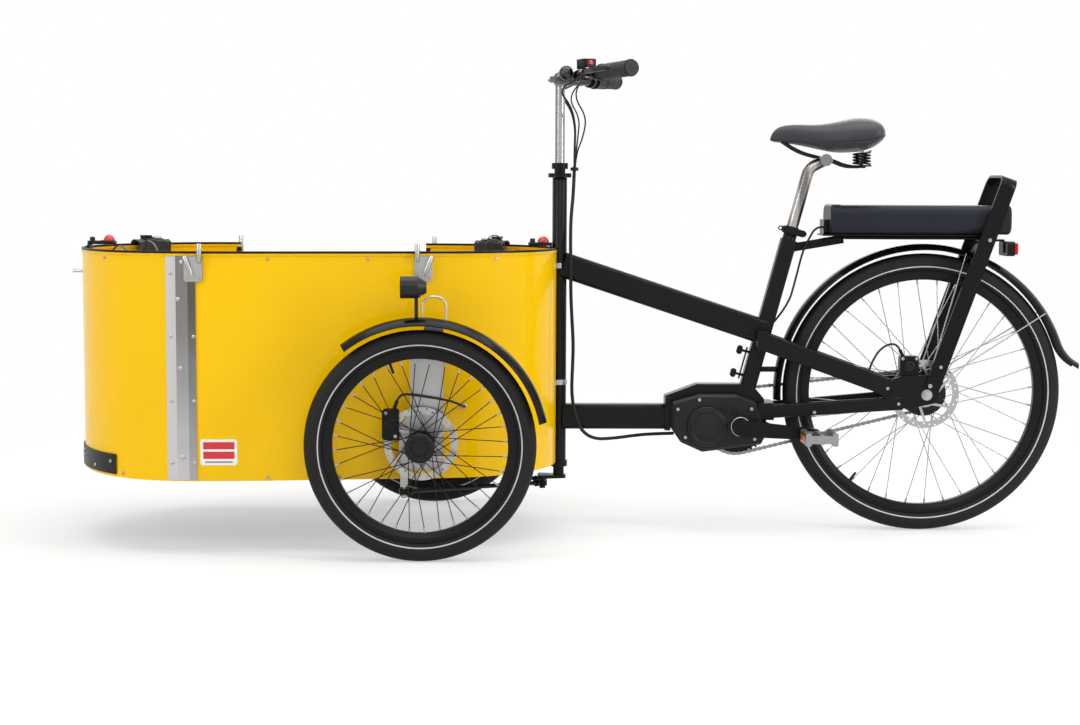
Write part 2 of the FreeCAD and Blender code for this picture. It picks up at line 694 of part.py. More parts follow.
def pedal(side):
    """Platform pedal: bored barrel, two treads with gripping ribs and end plates."""
    spot = pedal_centre(side)
    near = side * (CRANK_FACE + CRANK_THICKNESS + PEDAL_GAP)
    far = near + side * PEDAL_WIDTH
    y0, y1 = sorted((near, far))
    half_l, half_h = PEDAL_LENGTH / 2, PEDAL_HEIGHT / 2
    x, z = spot.x, spot.z
    barrel = rod(V(x, y0, z), V(x, y1, z), 11)
    shapes = [barrel]
    for direction in (-1, 1):
        x0, x1 = sorted((x + direction * half_l, x + direction * (half_l - 13)))
        tread = fillet_along(block(x0, x1, y0, y1, z - half_h, z + half_h), Y_AXIS, 4)
        for i in range(5):
            groove = y0 + (i + 1) * PEDAL_WIDTH / 6
            tread = tread.cut(block(x0, x1, groove - 3, groove + 3, z + half_h - 3, z + half_h))
            tread = tread.cut(block(x0, x1, groove - 3, groove + 3, z - half_h, z - half_h + 3))
        shapes.append(tread)
    for y in (y0, y1 - 8):
        web = fillet_along(block(x - half_l + 4, x + half_l - 4, y, y + 8, z - 9, z + 9), Y_AXIS, 4)
        shapes.append(web)
    body = fuse(shapes)
    axle_end = side * (CRANK_FACE + CRANK_THICKNESS + PEDAL_GAP + PEDAL_WIDTH - 6)
    bore = rod(V(x, near - side, z), V(x, axle_end + side * 0.5, z), PEDAL_AXLE_RADIUS + RUNNING)
    return body.cut(bore)


MOTOR_LEFT = 50.0
MOTOR_RIGHT = 38.0
MOTOR_FRONT = 161.0
MOTOR_REAR = 60.0
MOTOR_TOP = 74.0
MOTOR_BOTTOM = 61.0
MOTOR_COVER_AHEAD = 78.0
MOTOR_COVER_RADIUS = 47.0


def motor_unit():
    """Cast housing with a moulded round cover and a bearing boss on its left face."""
    housing = side_prism(motor_outline(), -MOTOR_LEFT, MOTOR_RIGHT)
    housing = fillet_along(housing, Y_AXIS, 9)
    rims = []
    for edge in housing.Edges:
        box = edge.BoundBox
        if box.YLength < 1e-6 and abs(box.YMin + MOTOR_LEFT) < 1e-6:
            rims.append(edge)
    housing = housing.makeChamfer(6, rims)
    left = V(CRANK_X, -MOTOR_LEFT, CRANK_Z)
    boss = rod(left, left - V(0, 8, 0), 23)
    spindle = rod(CRANK_CENTRE - Y_AXIS * 200, CRANK_CENTRE + Y_AXIS * 200, SPINDLE_RADIUS + RUNNING)
    housing = fuse([housing, boss]).cut(spindle)
    disc = left - V(MOTOR_COVER_AHEAD, 0, 0)
    cover = rod(disc, disc - V(0, 10, 0), MOTOR_COVER_RADIUS)
    face_edges = [edge for edge in cover.Edges if abs(edge.BoundBox.YMax + MOTOR_LEFT + 10) < 1e-6]
    cover = cover.makeFillet(4, face_edges)
    return [housing, cover.cut(boss)]


def drive():
    save("crankset", crankset())
    save("left_pedal", [pedal(-1)])
    save("right_pedal", [pedal(1)])
    save("rear_sprocket", [rear_sprocket()])
    save("chain", chain())
    save("motor_unit", motor_unit())


# Frame

SEAT_LINE = V(math.sin(math.radians(SEAT_TUBE_LEAN)), 0, math.cos(math.radians(SEAT_TUBE_LEAN)))
SEAT_FOOT = V(CRANK_X + SEAT_TUBE_BEHIND_CRANK, 0, SEAT_TUBE_FOOT_Z)
SEAT_TOP = SEAT_FOOT + SEAT_LINE * SEAT_TUBE_LENGTH
SLEEVE_TOP = SEAT_TOP + SEAT_LINE * SEAT_SLEEVE_RISE
COLUMN_FOOT = V(COLUMN_X, 0, HEAD_TUBE_FOOT_Z)
COLUMN_TOP = V(COLUMN_X, 0, HEAD_TUBE_TOP_Z)
FRONT_PLATE = 13.0
BRACKET_HALF_WIDTH = 20.0
YOKE_HALF_WIDTH = 44.0
STAY_BRIDGE_Z = MAIN_TUBE_REAR_Z - 19.0
STAY_BRIDGE_HALF_WIDTH = 55.0
SEAT_STAY_FRONT_Y = 48.0
CHAIN_STAY_FRONT_Y = 34.0
DROPOUT_Y = DROPOUT_INNER + DROPOUT_THICKNESS / 2
AXLE_END = 84.0
AXLE_NUT_RADIUS = 9.5
SCREW_LOW_Z = STAY_BRIDGE_Z - 88.0
SCREW_HIGH_Z = STAY_BRIDGE_Z - 34.0
SCREW_REACH = 23.0


def seat_line_at(z):
    return SEAT_FOOT + SEAT_LINE * ((z - SEAT_FOOT.z) / SEAT_LINE.z)


def motor_outline():
    x, z = CRANK_X, CRANK_Z
    return [(x - MOTOR_FRONT, z + 56), (x - 97, z + MOTOR_TOP), (x - 8, z + MOTOR_TOP), (x + 38, z + 56),
            (x + MOTOR_REAR, z - 19), (x + 50, z - 43), (x - 88, z - MOTOR_BOTTOM), (x - 139, z - 38),
            (x - MOTOR_FRONT, z - 6)]


def head_tube():
    tube = pipe(COLUMN_FOOT, COLUMN_TOP, HEAD_TUBE_RADIUS, HEAD_TUBE_BORE)
    solids = [tube]
    lower_end = COLUMN_FOOT + Z_AXIS * HEADSET_CUP_HEIGHT
    solids.append(pipe(COLUMN_FOOT, lower_end, HEADSET_CUP_RADIUS, HEAD_TUBE_RADIUS))
    for low, high in ((COLUMN_FOOT, COLUMN_FOOT + Z_AXIS * 25), (COLUMN_TOP - Z_AXIS * 25, COLUMN_TOP)):
        solids.append(pipe(low, high, HEAD_TUBE_BORE, STEER_SHAFT_RADIUS + RUNNING))
    return solids


def dropout(side):
    """Plate that carries the rear axle, with a tail that meets both stays."""
    x, z = REAR_AXLE_X, REAR_WHEEL_RADIUS
    outline = [(x + 26, z - 18), (x + 30, z + 20), (x + 6, z + 46), (x - 60, z + 44), (x - 106, z + 28),
               (x - 106, z + 2), (x - 74, z - 34), (x - 20, z - 28)]
    y0, y1 = sorted((side * DROPOUT_INNER, side * (DROPOUT_INNER + DROPOUT_THICKNESS)))
    plate = fillet_along(side_prism(outline, y0, y1), Y_AXIS, 7)
    hole = rod(REAR_CENTRE - Y_AXIS * AXLE_END, REAR_CENTRE + Y_AXIS * AXLE_END, REAR_AXLE_RADIUS)
    return plate.cut(hole)


def rear_axle():
    """Axle through hub and dropouts with a nut and a washer outside each."""
    outer = DROPOUT_INNER + DROPOUT_THICKNESS
    axle = rod(REAR_CENTRE - Y_AXIS * AXLE_END, REAR_CENTRE + Y_AXIS * AXLE_END, REAR_AXLE_RADIUS)
    shapes = [axle]
    for side in (-1, 1):
        washer = REAR_CENTRE + V(0, side * outer, 0)
        nut_foot = washer + V(0, side * 2, 0)
        shapes.append(rod(washer, nut_foot, AXLE_NUT_RADIUS + 3))
        corners = [wheel_point(nut_foot, AXLE_NUT_RADIUS, 60 * i) for i in range(6)]
        shapes.append(face_of(corners).extrude(V(0, side * 9, 0)))
    return fuse(shapes)


def seat_clamp():
    """Split collar round the sleeve's top, drawn shut by a bolt with a lever along its left side."""
    low = SLEEVE_TOP - SEAT_LINE * 18
    high = SLEEVE_TOP - SEAT_LINE * 2
    bolt_x = SEAT_SLEEVE_RADIUS + 10
    lever_y = -SEAT_SLEEVE_RADIUS - 8
    collar = pipe(low, high, SEAT_SLEEVE_RADIUS + 5, SEAT_SLEEVE_RADIUS)
    lugs = fillet_along(block(SEAT_SLEEVE_RADIUS + 2, bolt_x + 6, -7, 7, 0, 16), Y_AXIS, 3)
    split = block(SEAT_SLEEVE_RADIUS - 4, bolt_x + 10, -1, 1, -1, 17)
    bolt = rod(V(bolt_x, lever_y - 4, 8), V(bolt_x, 12, 8), 3)
    root, tip = V(bolt_x, 0, 8), V(-bolt_x - 4, 0, 8)
    lever = tapered_arm(root, tip, 7, 5.5, lever_y - 4, lever_y)
    lever = lever.cut(rod(tip + V(0, lever_y - 4, 0), tip + V(0, lever_y, 0), 3))
    sleeve = rod(low, high, SEAT_SLEEVE_RADIUS)
    for shape in (lugs, split, bolt, lever):
        shape.Placement = along(low, high).multiply(shape.Placement)
    return fuse([fuse([collar, lugs]).cut(split).cut(sleeve), bolt, lever])


def thumb_screws():
    """Strip held off the seat tube's front by two screws with oval heads."""
    ahead = V(-SEAT_LINE.z, 0, SEAT_LINE.x)
    face = SEAT_TUBE_SIZE / 2
    strip_at = ahead * (face + 7)
    strip_low, strip_high = seat_line_at(SCREW_LOW_Z - 10), seat_line_at(SCREW_HIGH_Z + 10)
    shapes = [rect_bar(strip_low + strip_at, strip_high + strip_at, 3, 14, 1)]
    for z in (SCREW_LOW_Z, SCREW_HIGH_Z):
        root = seat_line_at(z) + ahead * face
        head = root + ahead * SCREW_REACH
        shapes.append(rod(root, head, 3))
        shapes.append(tapered_arm(head - SEAT_LINE * 4, head + SEAT_LINE * 4, 6.6, 6.5, -6, 6))
    return fuse(shapes)


def seat_stay_bar(side):
    return rect_bar(V(seat_line_at(STAY_BRIDGE_Z).x, side * SEAT_STAY_FRONT_Y, STAY_BRIDGE_Z),
                    V(REAR_AXLE_X - 85, side * DROPOUT_Y, REAR_WHEEL_RADIUS + 16),
                    SEAT_STAY_DEPTH, STAY_WIDTH, 5)


def main_frame():
    head = rod(COLUMN_FOOT, COLUMN_TOP, HEAD_TUBE_RADIUS)
    tube_start = COLUMN_X + HEAD_TUBE_RADIUS / 2
    motor = side_prism(motor_outline(), -MOTOR_LEFT, MOTOR_RIGHT)
    x, z = CRANK_X, CRANK_Z
    front = x - MOTOR_FRONT - FRONT_PLATE
    plate = fillet_along(block(front, x - MOTOR_FRONT, -26, 26, z - 14, z + 68), X_AXIS, 8)
    yoke = block(x + 40, x + 80, -YOKE_HALF_WIDTH, YOKE_HALF_WIDTH, z + 14, z + 54)
    yoke = coped(fillet_along(yoke, Z_AXIS, 6), motor)
    saddle_plate = [(x - MOTOR_FRONT, z + 56), (x - 97, z + MOTOR_TOP), (x - 8, z + MOTOR_TOP),
                    (x + 38, z + 56), (x + 50, z + 14),
                    (x + 66, z + 14), (x + 58, z + 62), (x + 36, z + 88), (x + 4, z + 96),
                    (x - 100, z + 96), (x - MOTOR_FRONT - FRONT_PLATE, z + 68), (x - MOTOR_FRONT, z + 68)]
    bracket = side_prism(saddle_plate, -BRACKET_HALF_WIDTH, BRACKET_HALF_WIDTH)
    bracket = coped(bracket, motor, plate, yoke)
    seat_solid = rect_bar(SEAT_FOOT, SEAT_TOP, SEAT_TUBE_SIZE, SEAT_TUBE_SIZE, SEAT_TUBE_CORNER)
    sleeve_foot = SEAT_TOP - SEAT_LINE * SEAT_SLEEVE_DEPTH
    sleeve = pipe(sleeve_foot, SLEEVE_TOP, SEAT_SLEEVE_RADIUS, SEAT_POST_RADIUS + RUNNING)
    seat_tube = rect_bar(SEAT_FOOT, SEAT_TOP, SEAT_TUBE_SIZE, SEAT_TUBE_SIZE, SEAT_TUBE_CORNER, TUBE_WALL)
    seat_tube = coped(seat_tube, bracket, motor)
    lid_top = SEAT_TOP + SEAT_LINE * SEAT_LID
    lid = rect_bar(SEAT_TOP, lid_top, SEAT_TUBE_SIZE, SEAT_TUBE_SIZE, SEAT_TUBE_CORNER)
    lid = lid.cut(rod(sleeve_foot, SLEEVE_TOP, SEAT_SLEEVE_RADIUS))
    main_start = V(tube_start, 0, MAIN_TUBE_FRONT_Z)
    main_tube = rect_bar(main_start, seat_line_at(MAIN_TUBE_REAR_Z), MAIN_TUBE_DEPTH, TUBE_WIDTH, TUBE_CORNER,
                         TUBE_WALL)
    main_tube = coped(main_tube, head, seat_solid)
    lower_tube = rect_bar(V(tube_start, 0, AXLE_BEAM_Z), V(front, 0, AXLE_BEAM_Z), LOWER_TUBE_DEPTH,
                          TUBE_WIDTH, TUBE_CORNER, TUBE_WALL)
    lower_tube = coped(lower_tube, head)
    solids = head_tube() + [main_tube, lower_tube, plate, bracket, yoke, seat_tube, lid, sleeve, seat_clamp()]
    bridge_x = seat_line_at(STAY_BRIDGE_Z).x
    for side in (-1, 1):
        plate_end = dropout(side)
        y0, y1 = sorted((side * SEAT_TUBE_SIZE / 2, side * STAY_BRIDGE_HALF_WIDTH))
        bridge = block(bridge_x - 14, bridge_x + 14, y0, y1, STAY_BRIDGE_Z - 24, STAY_BRIDGE_Z + 24)
        bridge = coped(fillet_along(bridge, Y_AXIS, 5), seat_solid, main_tube)
        chain_stay = rect_bar(V(x + 46, side * CHAIN_STAY_FRONT_Y, z + 32),
                              V(REAR_AXLE_X - 55, side * DROPOUT_Y, REAR_WHEEL_RADIUS - 19),
                              CHAIN_STAY_DEPTH, STAY_WIDTH, 5)
        seat_stay = coped(seat_stay_bar(side), bridge, seat_solid, plate_end)
        chain_stay = coped(chain_stay, yoke, motor, plate_end)
        solids += [bridge, seat_stay, chain_stay, plate_end]
    return solids + [rear_axle(), thumb_screws()]


def hollow_beam(x0, x1, y0, y1, z0, z1, axis):
    outer = fillet_along(block(x0, x1, y0, y1, z0, z1), axis, TUBE_CORNER)
    if abs(axis.y) > 0.5:
        core = block(x0 + TUBE_WALL, x1 - TUBE_WALL, y0, y1, z0 + TUBE_WALL, z1 - TUBE_WALL)
    else:
        core = block(x0, x1, y0 + TUBE_WALL, y1 - TUBE_WALL, z0 + TUBE_WALL, z1 - TUBE_WALL)
    return outer.cut(fillet_along(core, axis, TUBE_CORNER - TUBE_WALL))


HOUSING_FOOT_Z = FRONT_WHEEL_RADIUS - KINGPIN_HOUSING_HEIGHT / 2 + LUG_GAP
HOUSING_TOP_Z = FRONT_WHEEL_RADIUS + KINGPIN_HOUSING_HEIGHT / 2 - LUG_GAP
BEAM_LOW_Z = AXLE_BEAM_Z - LOWER_TUBE_DEPTH / 2
BEAM_HIGH_Z = AXLE_BEAM_Z + LOWER_TUBE_DEPTH / 2
KEEL_HALF_WIDTH = 18.0


def axle_beam():
    """Cross beam with a bored kingpin housing at each end and a keel inside the box to the head tube."""
    front, rear = FRONT_AXLE_X - BEAM_DEPTH / 2, FRONT_AXLE_X + BEAM_DEPTH / 2
    cross = hollow_beam(front, rear, -KINGPIN_Y, KINGPIN_Y, BEAM_LOW_Z, BEAM_HIGH_Z, Y_AXIS)
    keel = hollow_beam(rear, COLUMN_X - HEAD_TUBE_RADIUS / 2, -KEEL_HALF_WIDTH, KEEL_HALF_WIDTH,
                       BEAM_LOW_Z, BEAM_HIGH_Z, X_AXIS)
    keel = coped(keel, rod(COLUMN_FOOT, COLUMN_TOP, HEAD_TUBE_RADIUS))
    solids = [keel]
    for side in (-1, 1):
        low = V(FRONT_AXLE_X, side * KINGPIN_Y, HOUSING_FOOT_Z)
        high = V(FRONT_AXLE_X, side * KINGPIN_Y, HOUSING_TOP_Z)
        solids.append(pipe(low, high, KINGPIN_HOUSING_RADIUS, KINGPIN_RADIUS + RUNNING))
        cross = coped(cross, rod(low, high, KINGPIN_HOUSING_RADIUS))
    solids.append(cross)
    return solids


def frame():
    save("main_frame", main_frame())
    save("axle_beam", axle_beam())


# Box

BOX_REAR_X = COLUMN_X - BOX_COLUMN_STANDOFF
BOX_NOSE_X = BOX_REAR_X - BOX_LENGTH
REAR_ARC_X = BOX_REAR_X - BOX_REAR_RADIUS
NOSE_ARC_X = BOX_NOSE_X + NOSE_RADIUS
HALF_BOX = BOX_WIDTH / 2
NOSE_TURN = math.asin((HALF_BOX - SHOULDER_RADIUS) / (NOSE_RADIUS - SHOULDER_RADIUS))
SHOULDER_X = NOSE_ARC_X - (NOSE_RADIUS - SHOULDER_RADIUS) * math.cos(NOSE_TURN)
TAPER_X = SHOULDER_X + SIDE_FLAT
TAPER_RUN = REAR_ARC_X - TAPER_X
TAPER = math.acos(BOX_REAR_RADIUS / math.hypot(HALF_BOX, TAPER_RUN)) - math.atan2(TAPER_RUN, HALF_BOX)
BLEND_REACH = SIDE_BLEND_SHARE * SIDE_FLAT
SIDE_BLEND_RADIUS = BLEND_REACH / math.tan(TAPER / 2)
SEAM_X = BOX_NOSE_X + SEAM_BEHIND_NOSE
BOX_TOP_Z = BOX_BOTTOM_Z + BOX_HEIGHT
FLOOR_Z = BOX_BOTTOM_Z + FLOOR_RECESS
FLOOR_TOP_Z = FLOOR_Z + FLOOR_THICKNESS
FAR = 2000.0
BEAM_HOLE_CLEARANCE = 2.0
STRIP_FLANGE = 22.0
STRIP_FLANGE_AHEAD = 34.0
STRIP_FLANGE_THICKNESS = 1.5
STRIP_COVER = 43.0
STRIP_COVER_THICKNESS = 3.0
STRIP_TOP_GAP = 0.5
KICK_PLATE_LENGTH = 116.0
KICK_PLATE_RISE = 6.0
KICK_PLATE_HEIGHT = 44.0
KICK_PLATE_THICKNESS = 4.0
NOSE_STUD_RADIUS = 4.0
NOSE_STUD_LENGTH = 24.0
NOSE_STUD_BELOW_RIM = 56.0
NOSE_STUD_Z = BOX_TOP_Z - NOSE_STUD_BELOW_RIM


def box_wall(inset):
    """Plan outline of the box, drawn in by a distance: nose, shoulders, sides and round back, all tangent."""
    def on(x, y, radius, angle):
        return V(x + radius * math.cos(angle), y + radius * math.sin(angle), 0)

    def arc(x, y, radius, first, last):
        return Part.Arc(on(x, y, radius, first), on(x, y, radius, (first + last) / 2),
                        on(x, y, radius, last)).toShape()

    right = math.pi / 2
    edges = [arc(NOSE_ARC_X, 0, NOSE_RADIUS - inset, math.pi - NOSE_TURN, math.pi + NOSE_TURN)]
    back = BOX_REAR_RADIUS - inset
    edges.append(arc(REAR_ARC_X, 0, back, TAPER - right, right - TAPER))
    for side in (-1, 1):
        shoulder_y = side * (HALF_BOX - SHOULDER_RADIUS)
        lean = math.pi - side * NOSE_TURN
        flank = math.pi - side * right
        edges.append(arc(SHOULDER_X, shoulder_y, SHOULDER_RADIUS - inset, lean, flank))
        start = V(SHOULDER_X, side * (HALF_BOX - inset), 0)
        bend = V(TAPER_X - BLEND_REACH, side * (HALF_BOX - inset), 0)
        blend_y = side * (HALF_BOX - SIDE_BLEND_RADIUS)
        blend = arc(bend.x, blend_y, SIDE_BLEND_RADIUS - inset, side * right, side * (right - TAPER))
        leave = on(bend.x, blend_y, SIDE_BLEND_RADIUS - inset, side * (right - TAPER))
        meet = on(REAR_ARC_X, 0, back, side * (right - TAPER))
        edges.append(Part.LineSegment(start, bend).toShape())
        edges.append(blend)
        edges.append(Part.LineSegment(leave, meet).toShape())
    return Part.Wire(Part.__sortEdges__(edges))


def box_slab(inset, z0, z1):
    slab = Part.Face(box_wall(inset)).extrude(V(0, 0, z1 - z0))
    return moved(slab, V(0, 0, z0))


def wall_ring(outer, inner, z0, z1):
    return box_slab(outer, z0, z1).cut(box_slab(inner, z0, z1))


def entry_cut(grow):
    """Low entry on the right side, larger or smaller all round by a distance."""
    x0 = SEAM_X + ENTRY_BEHIND_SEAM - grow
    x1 = REAR_ARC_X - ENTRY_AHEAD_OF_BACK + grow
    z0 = BOX_TOP_Z - ENTRY_DEPTH - grow
    cut = block(x0, x1, 0, FAR, z0, BOX_TOP_Z + TRIM_DEPTH)
    edges = []
    for edge in cut.Edges:
        bounds = edge.BoundBox
        if bounds.YLength > FAR / 2 and bounds.ZMax < z0 + 1e-6:
            edges.append(edge)
    return cut.makeFillet(ENTRY_CORNER + grow, edges)


def box_sheets():
    ring = wall_ring(0, SHEET, BOX_BOTTOM_Z, BOX_TOP_Z)
    seam = SEAM_GAP / 2
    front = ring.common(block(-FAR, SEAM_X - seam, -FAR, FAR, 0, FAR))
    left = ring.common(block(SEAM_X + seam, FAR, -FAR, -SHEET_END_Y, 0, FAR))
    grow = BEAM_HOLE_CLEARANCE
    hole = block(FRONT_AXLE_X - BEAM_DEPTH / 2 - grow, FRONT_AXLE_X + BEAM_DEPTH / 2 + grow, -FAR, FAR,
                 BEAM_LOW_Z - grow, BEAM_HIGH_Z + grow)
    left = left.cut(fillet_along(hole, Y_AXIS, TUBE_CORNER + grow))
    right = mirrored(left).cut(entry_cut(0))
    stud_hole = rod(V(BOX_NOSE_X - 9, 0, NOSE_STUD_Z), V(BOX_NOSE_X + 9, 0, NOSE_STUD_Z), NOSE_STUD_RADIUS)
    return front.cut(stud_hole).Solids[0], left.Solids[0], right.Solids[0]


def rim_trim():
    """U-shaped edging over the sheets' top edge, which drops round the entry on the right."""
    low = BOX_TOP_Z - TRIM_DEPTH
    high = BOX_TOP_Z + TRIM_THICKNESS
    sleeve = wall_ring(-TRIM_THICKNESS, SHEET + TRIM_THICKNESS, BOX_TOP_Z - ENTRY_DEPTH - TRIM_DEPTH, high)
    top_band = sleeve.common(block(-FAR, FAR, -FAR, FAR, low, high))
    entry_band = sleeve.common(entry_cut(TRIM_DEPTH)).cut(entry_cut(-TRIM_THICKNESS))
    band = top_band.cut(entry_cut(-TRIM_THICKNESS)).fuse(entry_band)
    sheet = wall_ring(0, SHEET, BOX_BOTTOM_Z, BOX_TOP_Z).cut(entry_cut(0))
    band = band.cut(sheet)
    gap = block(REAR_ARC_X, FAR, -SHEET_END_Y, SHEET_END_Y, 0, FAR)
    return [solid for solid in band.cut(gap).Solids if solid.Volume > 100]


def kick_plate():
    low = BOX_BOTTOM_Z + KICK_PLATE_RISE
    ring = wall_ring(-KICK_PLATE_THICKNESS, 0, low, low + KICK_PLATE_HEIGHT)
    return ring.common(block(-FAR, BOX_NOSE_X + KICK_PLATE_LENGTH, -FAR, FAR, 0, FAR)).Solids[0]


def seam_strips():
    """Outer strips over the seam: a thin riveted flange ahead and a bright cover behind it."""
    low, high = BOX_BOTTOM_Z + 3, BOX_TOP_Z - TRIM_DEPTH - STRIP_TOP_GAP
    flange_ring = wall_ring(-STRIP_FLANGE_THICKNESS, 0, low, high)
    cover_ring = wall_ring(-STRIP_COVER_THICKNESS, 0, low, high)
    start = SEAM_X - STRIP_FLANGE_AHEAD
    middle = start + STRIP_FLANGE
    solids = []
    for side in (-1, 1):
        y0, y1 = sorted((0, side * FAR))
        solids.append(flange_ring.common(block(start, middle, y0, y1, 0, FAR)).Solids[0])
        solids.append(cover_ring.common(block(middle, middle + STRIP_COVER, y0, y1, 0, FAR)).Solids[0])
    return solids


def nose_stud():
    """Threaded stud through the nose with a washer outside and a nut within, for a draw-hook or lamp."""
    tip = V(BOX_NOSE_X - 6 - NOSE_STUD_LENGTH, 0, NOSE_STUD_Z)
    outer = V(BOX_NOSE_X, 0, NOSE_STUD_Z)
    inside = V(BOX_NOSE_X + SHEET, 0, NOSE_STUD_Z)
    shank = rod(tip, inside + V(7, 0, 0), NOSE_STUD_RADIUS)
    collar = rod(outer - V(6, 0, 0), outer + V(2, 0, 0), 8).cut(box_slab(0, 0, FAR))
    nut = rod(inside - V(1, 0, 0), inside + V(6, 0, 0), 7).common(box_slab(SHEET, 0, FAR))
    return fuse([shank, collar, nut])


def floor_board():
    board = box_slab(SHEET + BENCH_GAP, FLOOR_Z, FLOOR_TOP_Z)
    post = rod(COLUMN_FOOT, COLUMN_TOP, HEADSET_CUP_RADIUS + 1)
    return board.cut(post).Solids[0]


def benches():
    """Bench boards front and back, each on a riser that stands on the floor."""
    seat_low = FLOOR_TOP_Z + BENCH_HEIGHT - BENCH_BOARD
    seat_high = FLOOR_TOP_Z + BENCH_HEIGHT
    inside = SHEET + BENCH_GAP
    board = box_slab(inside, seat_low, seat_high)
    wall = box_slab(inside, FLOOR_TOP_Z, seat_low)
    rear_x = FRONT_AXLE_X - REAR_BENCH_AHEAD_OF_AXLE
    front_x = BOX_NOSE_X + FRONT_BENCH_BEHIND_NOSE
    post = rod(COLUMN_FOOT, COLUMN_TOP, HEAD_TUBE_RADIUS + 2)
    rear = board.common(block(rear_x, FAR, -FAR, FAR, 0, FAR)).cut(post)
    rear_riser = wall.common(block(rear_x, rear_x + BENCH_BOARD, -FAR, FAR, 0, FAR))
    front = board.common(block(-FAR, front_x, -FAR, FAR, 0, FAR))
    front_riser = wall.common(block(front_x - BENCH_BOARD, front_x, -FAR, FAR, 0, FAR))
    return [fuse([rear, rear_riser]).Solids[0], fuse([front, front_riser]).Solids[0]]


# Box fittings

POLE_PLATE_WIDTH = 40.0
POLE_PLATE_THICKNESS = 3.0
POLE_PLATE_LOW_Z = BOX_TOP_Z - 64.0
POLE_TUBE_RADIUS = 5.5
POLE_BORE_RADIUS = 4.1
POLE_TUBE_TOP_Z = BOX_TOP_Z + 18.0
POLE_TUBE_LENGTH = 39.0
POLE_TUBE_AT = -14.0
POLE_SLANT = 20.0
POLE_SLANT_LENGTH = 46.0
FRONT_POLE_X = SEAM_X + 27.0
REAR_POLE_AHEAD_OF_BACK = 14.0
REAR_POLE_X = REAR_ARC_X - REAR_POLE_AHEAD_OF_BACK
ENTRY_BRACKET_SHIFT = 17.0


def wall_spot(x):
    """Place and outward direction of the left wall at a station, both in plan."""
    bend_x = TAPER_X - BLEND_REACH
    leave_x = bend_x + SIDE_BLEND_RADIUS * math.sin(TAPER)
    if x <= bend_x:
        return V(x, -HALF_BOX, 0), V(0, -1, 0)
    centre_y = SIDE_BLEND_RADIUS - HALF_BOX
    if x < leave_x:
        turn = math.asin((x - bend_x) / SIDE_BLEND_RADIUS)
        outward = V(math.sin(turn), -math.cos(turn), 0)
        return V(bend_x, centre_y, 0) + outward * SIDE_BLEND_RADIUS, outward
    outward = V(math.sin(TAPER), -math.cos(TAPER), 0)
    leave = V(bend_x, centre_y, 0) + outward * SIDE_BLEND_RADIUS
    run = (x - leave_x) / math.cos(TAPER)
    return leave + V(math.cos(TAPER), math.sin(TAPER), 0) * run, outward


def pole_bracket(direction):
    """Bracket in its own frame: X along the wall, -Y outwards, with an upright and a slanting socket."""
    top = BOX_TOP_Z - TRIM_DEPTH - STRIP_TOP_GAP
    half = POLE_PLATE_WIDTH / 2
    plate = block(-half, half, -POLE_PLATE_THICKNESS, 0, POLE_PLATE_LOW_Z, top)
    plate = fillet_along(plate, Y_AXIS, 6)
    out = -POLE_PLATE_THICKNESS - POLE_TUBE_RADIUS + 0.5
    foot = V(direction * POLE_TUBE_AT, out, POLE_TUBE_TOP_Z - POLE_TUBE_LENGTH)
    head = V(direction * POLE_TUBE_AT, out, POLE_TUBE_TOP_Z)
    slant = math.radians(POLE_SLANT)
    slant_foot = V(direction * 2, out, POLE_PLATE_LOW_Z + 12)
    slant_head = slant_foot + V(direction * math.sin(slant), 0, math.cos(slant)) * POLE_SLANT_LENGTH
    body = fuse([plate, rod(foot, head, POLE_TUBE_RADIUS), rod(slant_foot, slant_head, POLE_TUBE_RADIUS)])
    return body.cut(rod(foot, head, POLE_BORE_RADIUS)).cut(rod(slant_foot, slant_head, POLE_BORE_RADIUS))


def placed_bracket(x, offset, direction):
    spot, outward = wall_spot(x)
    bracket = pole_bracket(direction)
    turn = math.degrees(math.atan2(outward.x, -outward.y))
    bracket.rotate(V(0, 0, 0), Z_AXIS, turn)
    bracket.translate(spot + outward * offset)
    return bracket


def column_clamp(z, reach):
    """Band round the sides or the back of the head tube with two ears against the ends of the side sheets."""
    low, high = V(COLUMN_X, 0, z - 6), V(COLUMN_X, 0, z + 6)
    band = pipe(low, high, HEAD_TUBE_RADIUS + 2.5, HEAD_TUBE_RADIUS)
    rear_half = block(COLUMN_X - 2, COLUMN_X + reach, -FAR, FAR, 0, FAR)
    ears = wall_ring(-2.5, 0, z - 6, z + 6).common(block(REAR_ARC_X, FAR, -45, 45, 0, FAR))
    ears = ears.cut(block(REAR_ARC_X, FAR, 2 - HEAD_TUBE_RADIUS, HEAD_TUBE_RADIUS - 2, 0, FAR))
    bridges = []
    for side in (-1, 1):
        y0, y1 = sorted((side * HEAD_TUBE_RADIUS, side * (HEAD_TUBE_RADIUS + 2.5)))
        bridges.append(block(BOX_REAR_X + 0.5, COLUMN_X, y0, y1, z - 6, z + 6))
    clamp = fuse([band.common(rear_half), ears] + bridges).cut(rod(low, high, HEAD_TUBE_RADIUS))
    return clamp.Solids


def box_brackets():
    solids = []
    front = placed_bracket(FRONT_POLE_X, STRIP_COVER_THICKNESS, -1)
    beside_entry = placed_bracket(REAR_POLE_X + ENTRY_BRACKET_SHIFT, 0, 1)
    solids += [front, mirrored(front), placed_bracket(REAR_POLE_X, 0, 1), mirrored(beside_entry)]
    return solids + column_clamp(BOX_TOP_Z - 40, HEAD_TUBE_RADIUS / 4) + column_clamp(BOX_BOTTOM_Z + 187, FAR)


LOCK_PLATE_WIDTH = 36.0
LOCK_PLATE_THICKNESS = 8.0
LOCK_PLATE_Z = BOX_TOP_Z + 6.0
BUTTON_RADIUS = 13.0
BUTTON_TRAVEL = 3.0
BUTTON_STEM_RADIUS = 6.0
WEBBING_WIDTH = 25.0
WEBBING_HALF = 1.0
STRAP_Y = 180.0


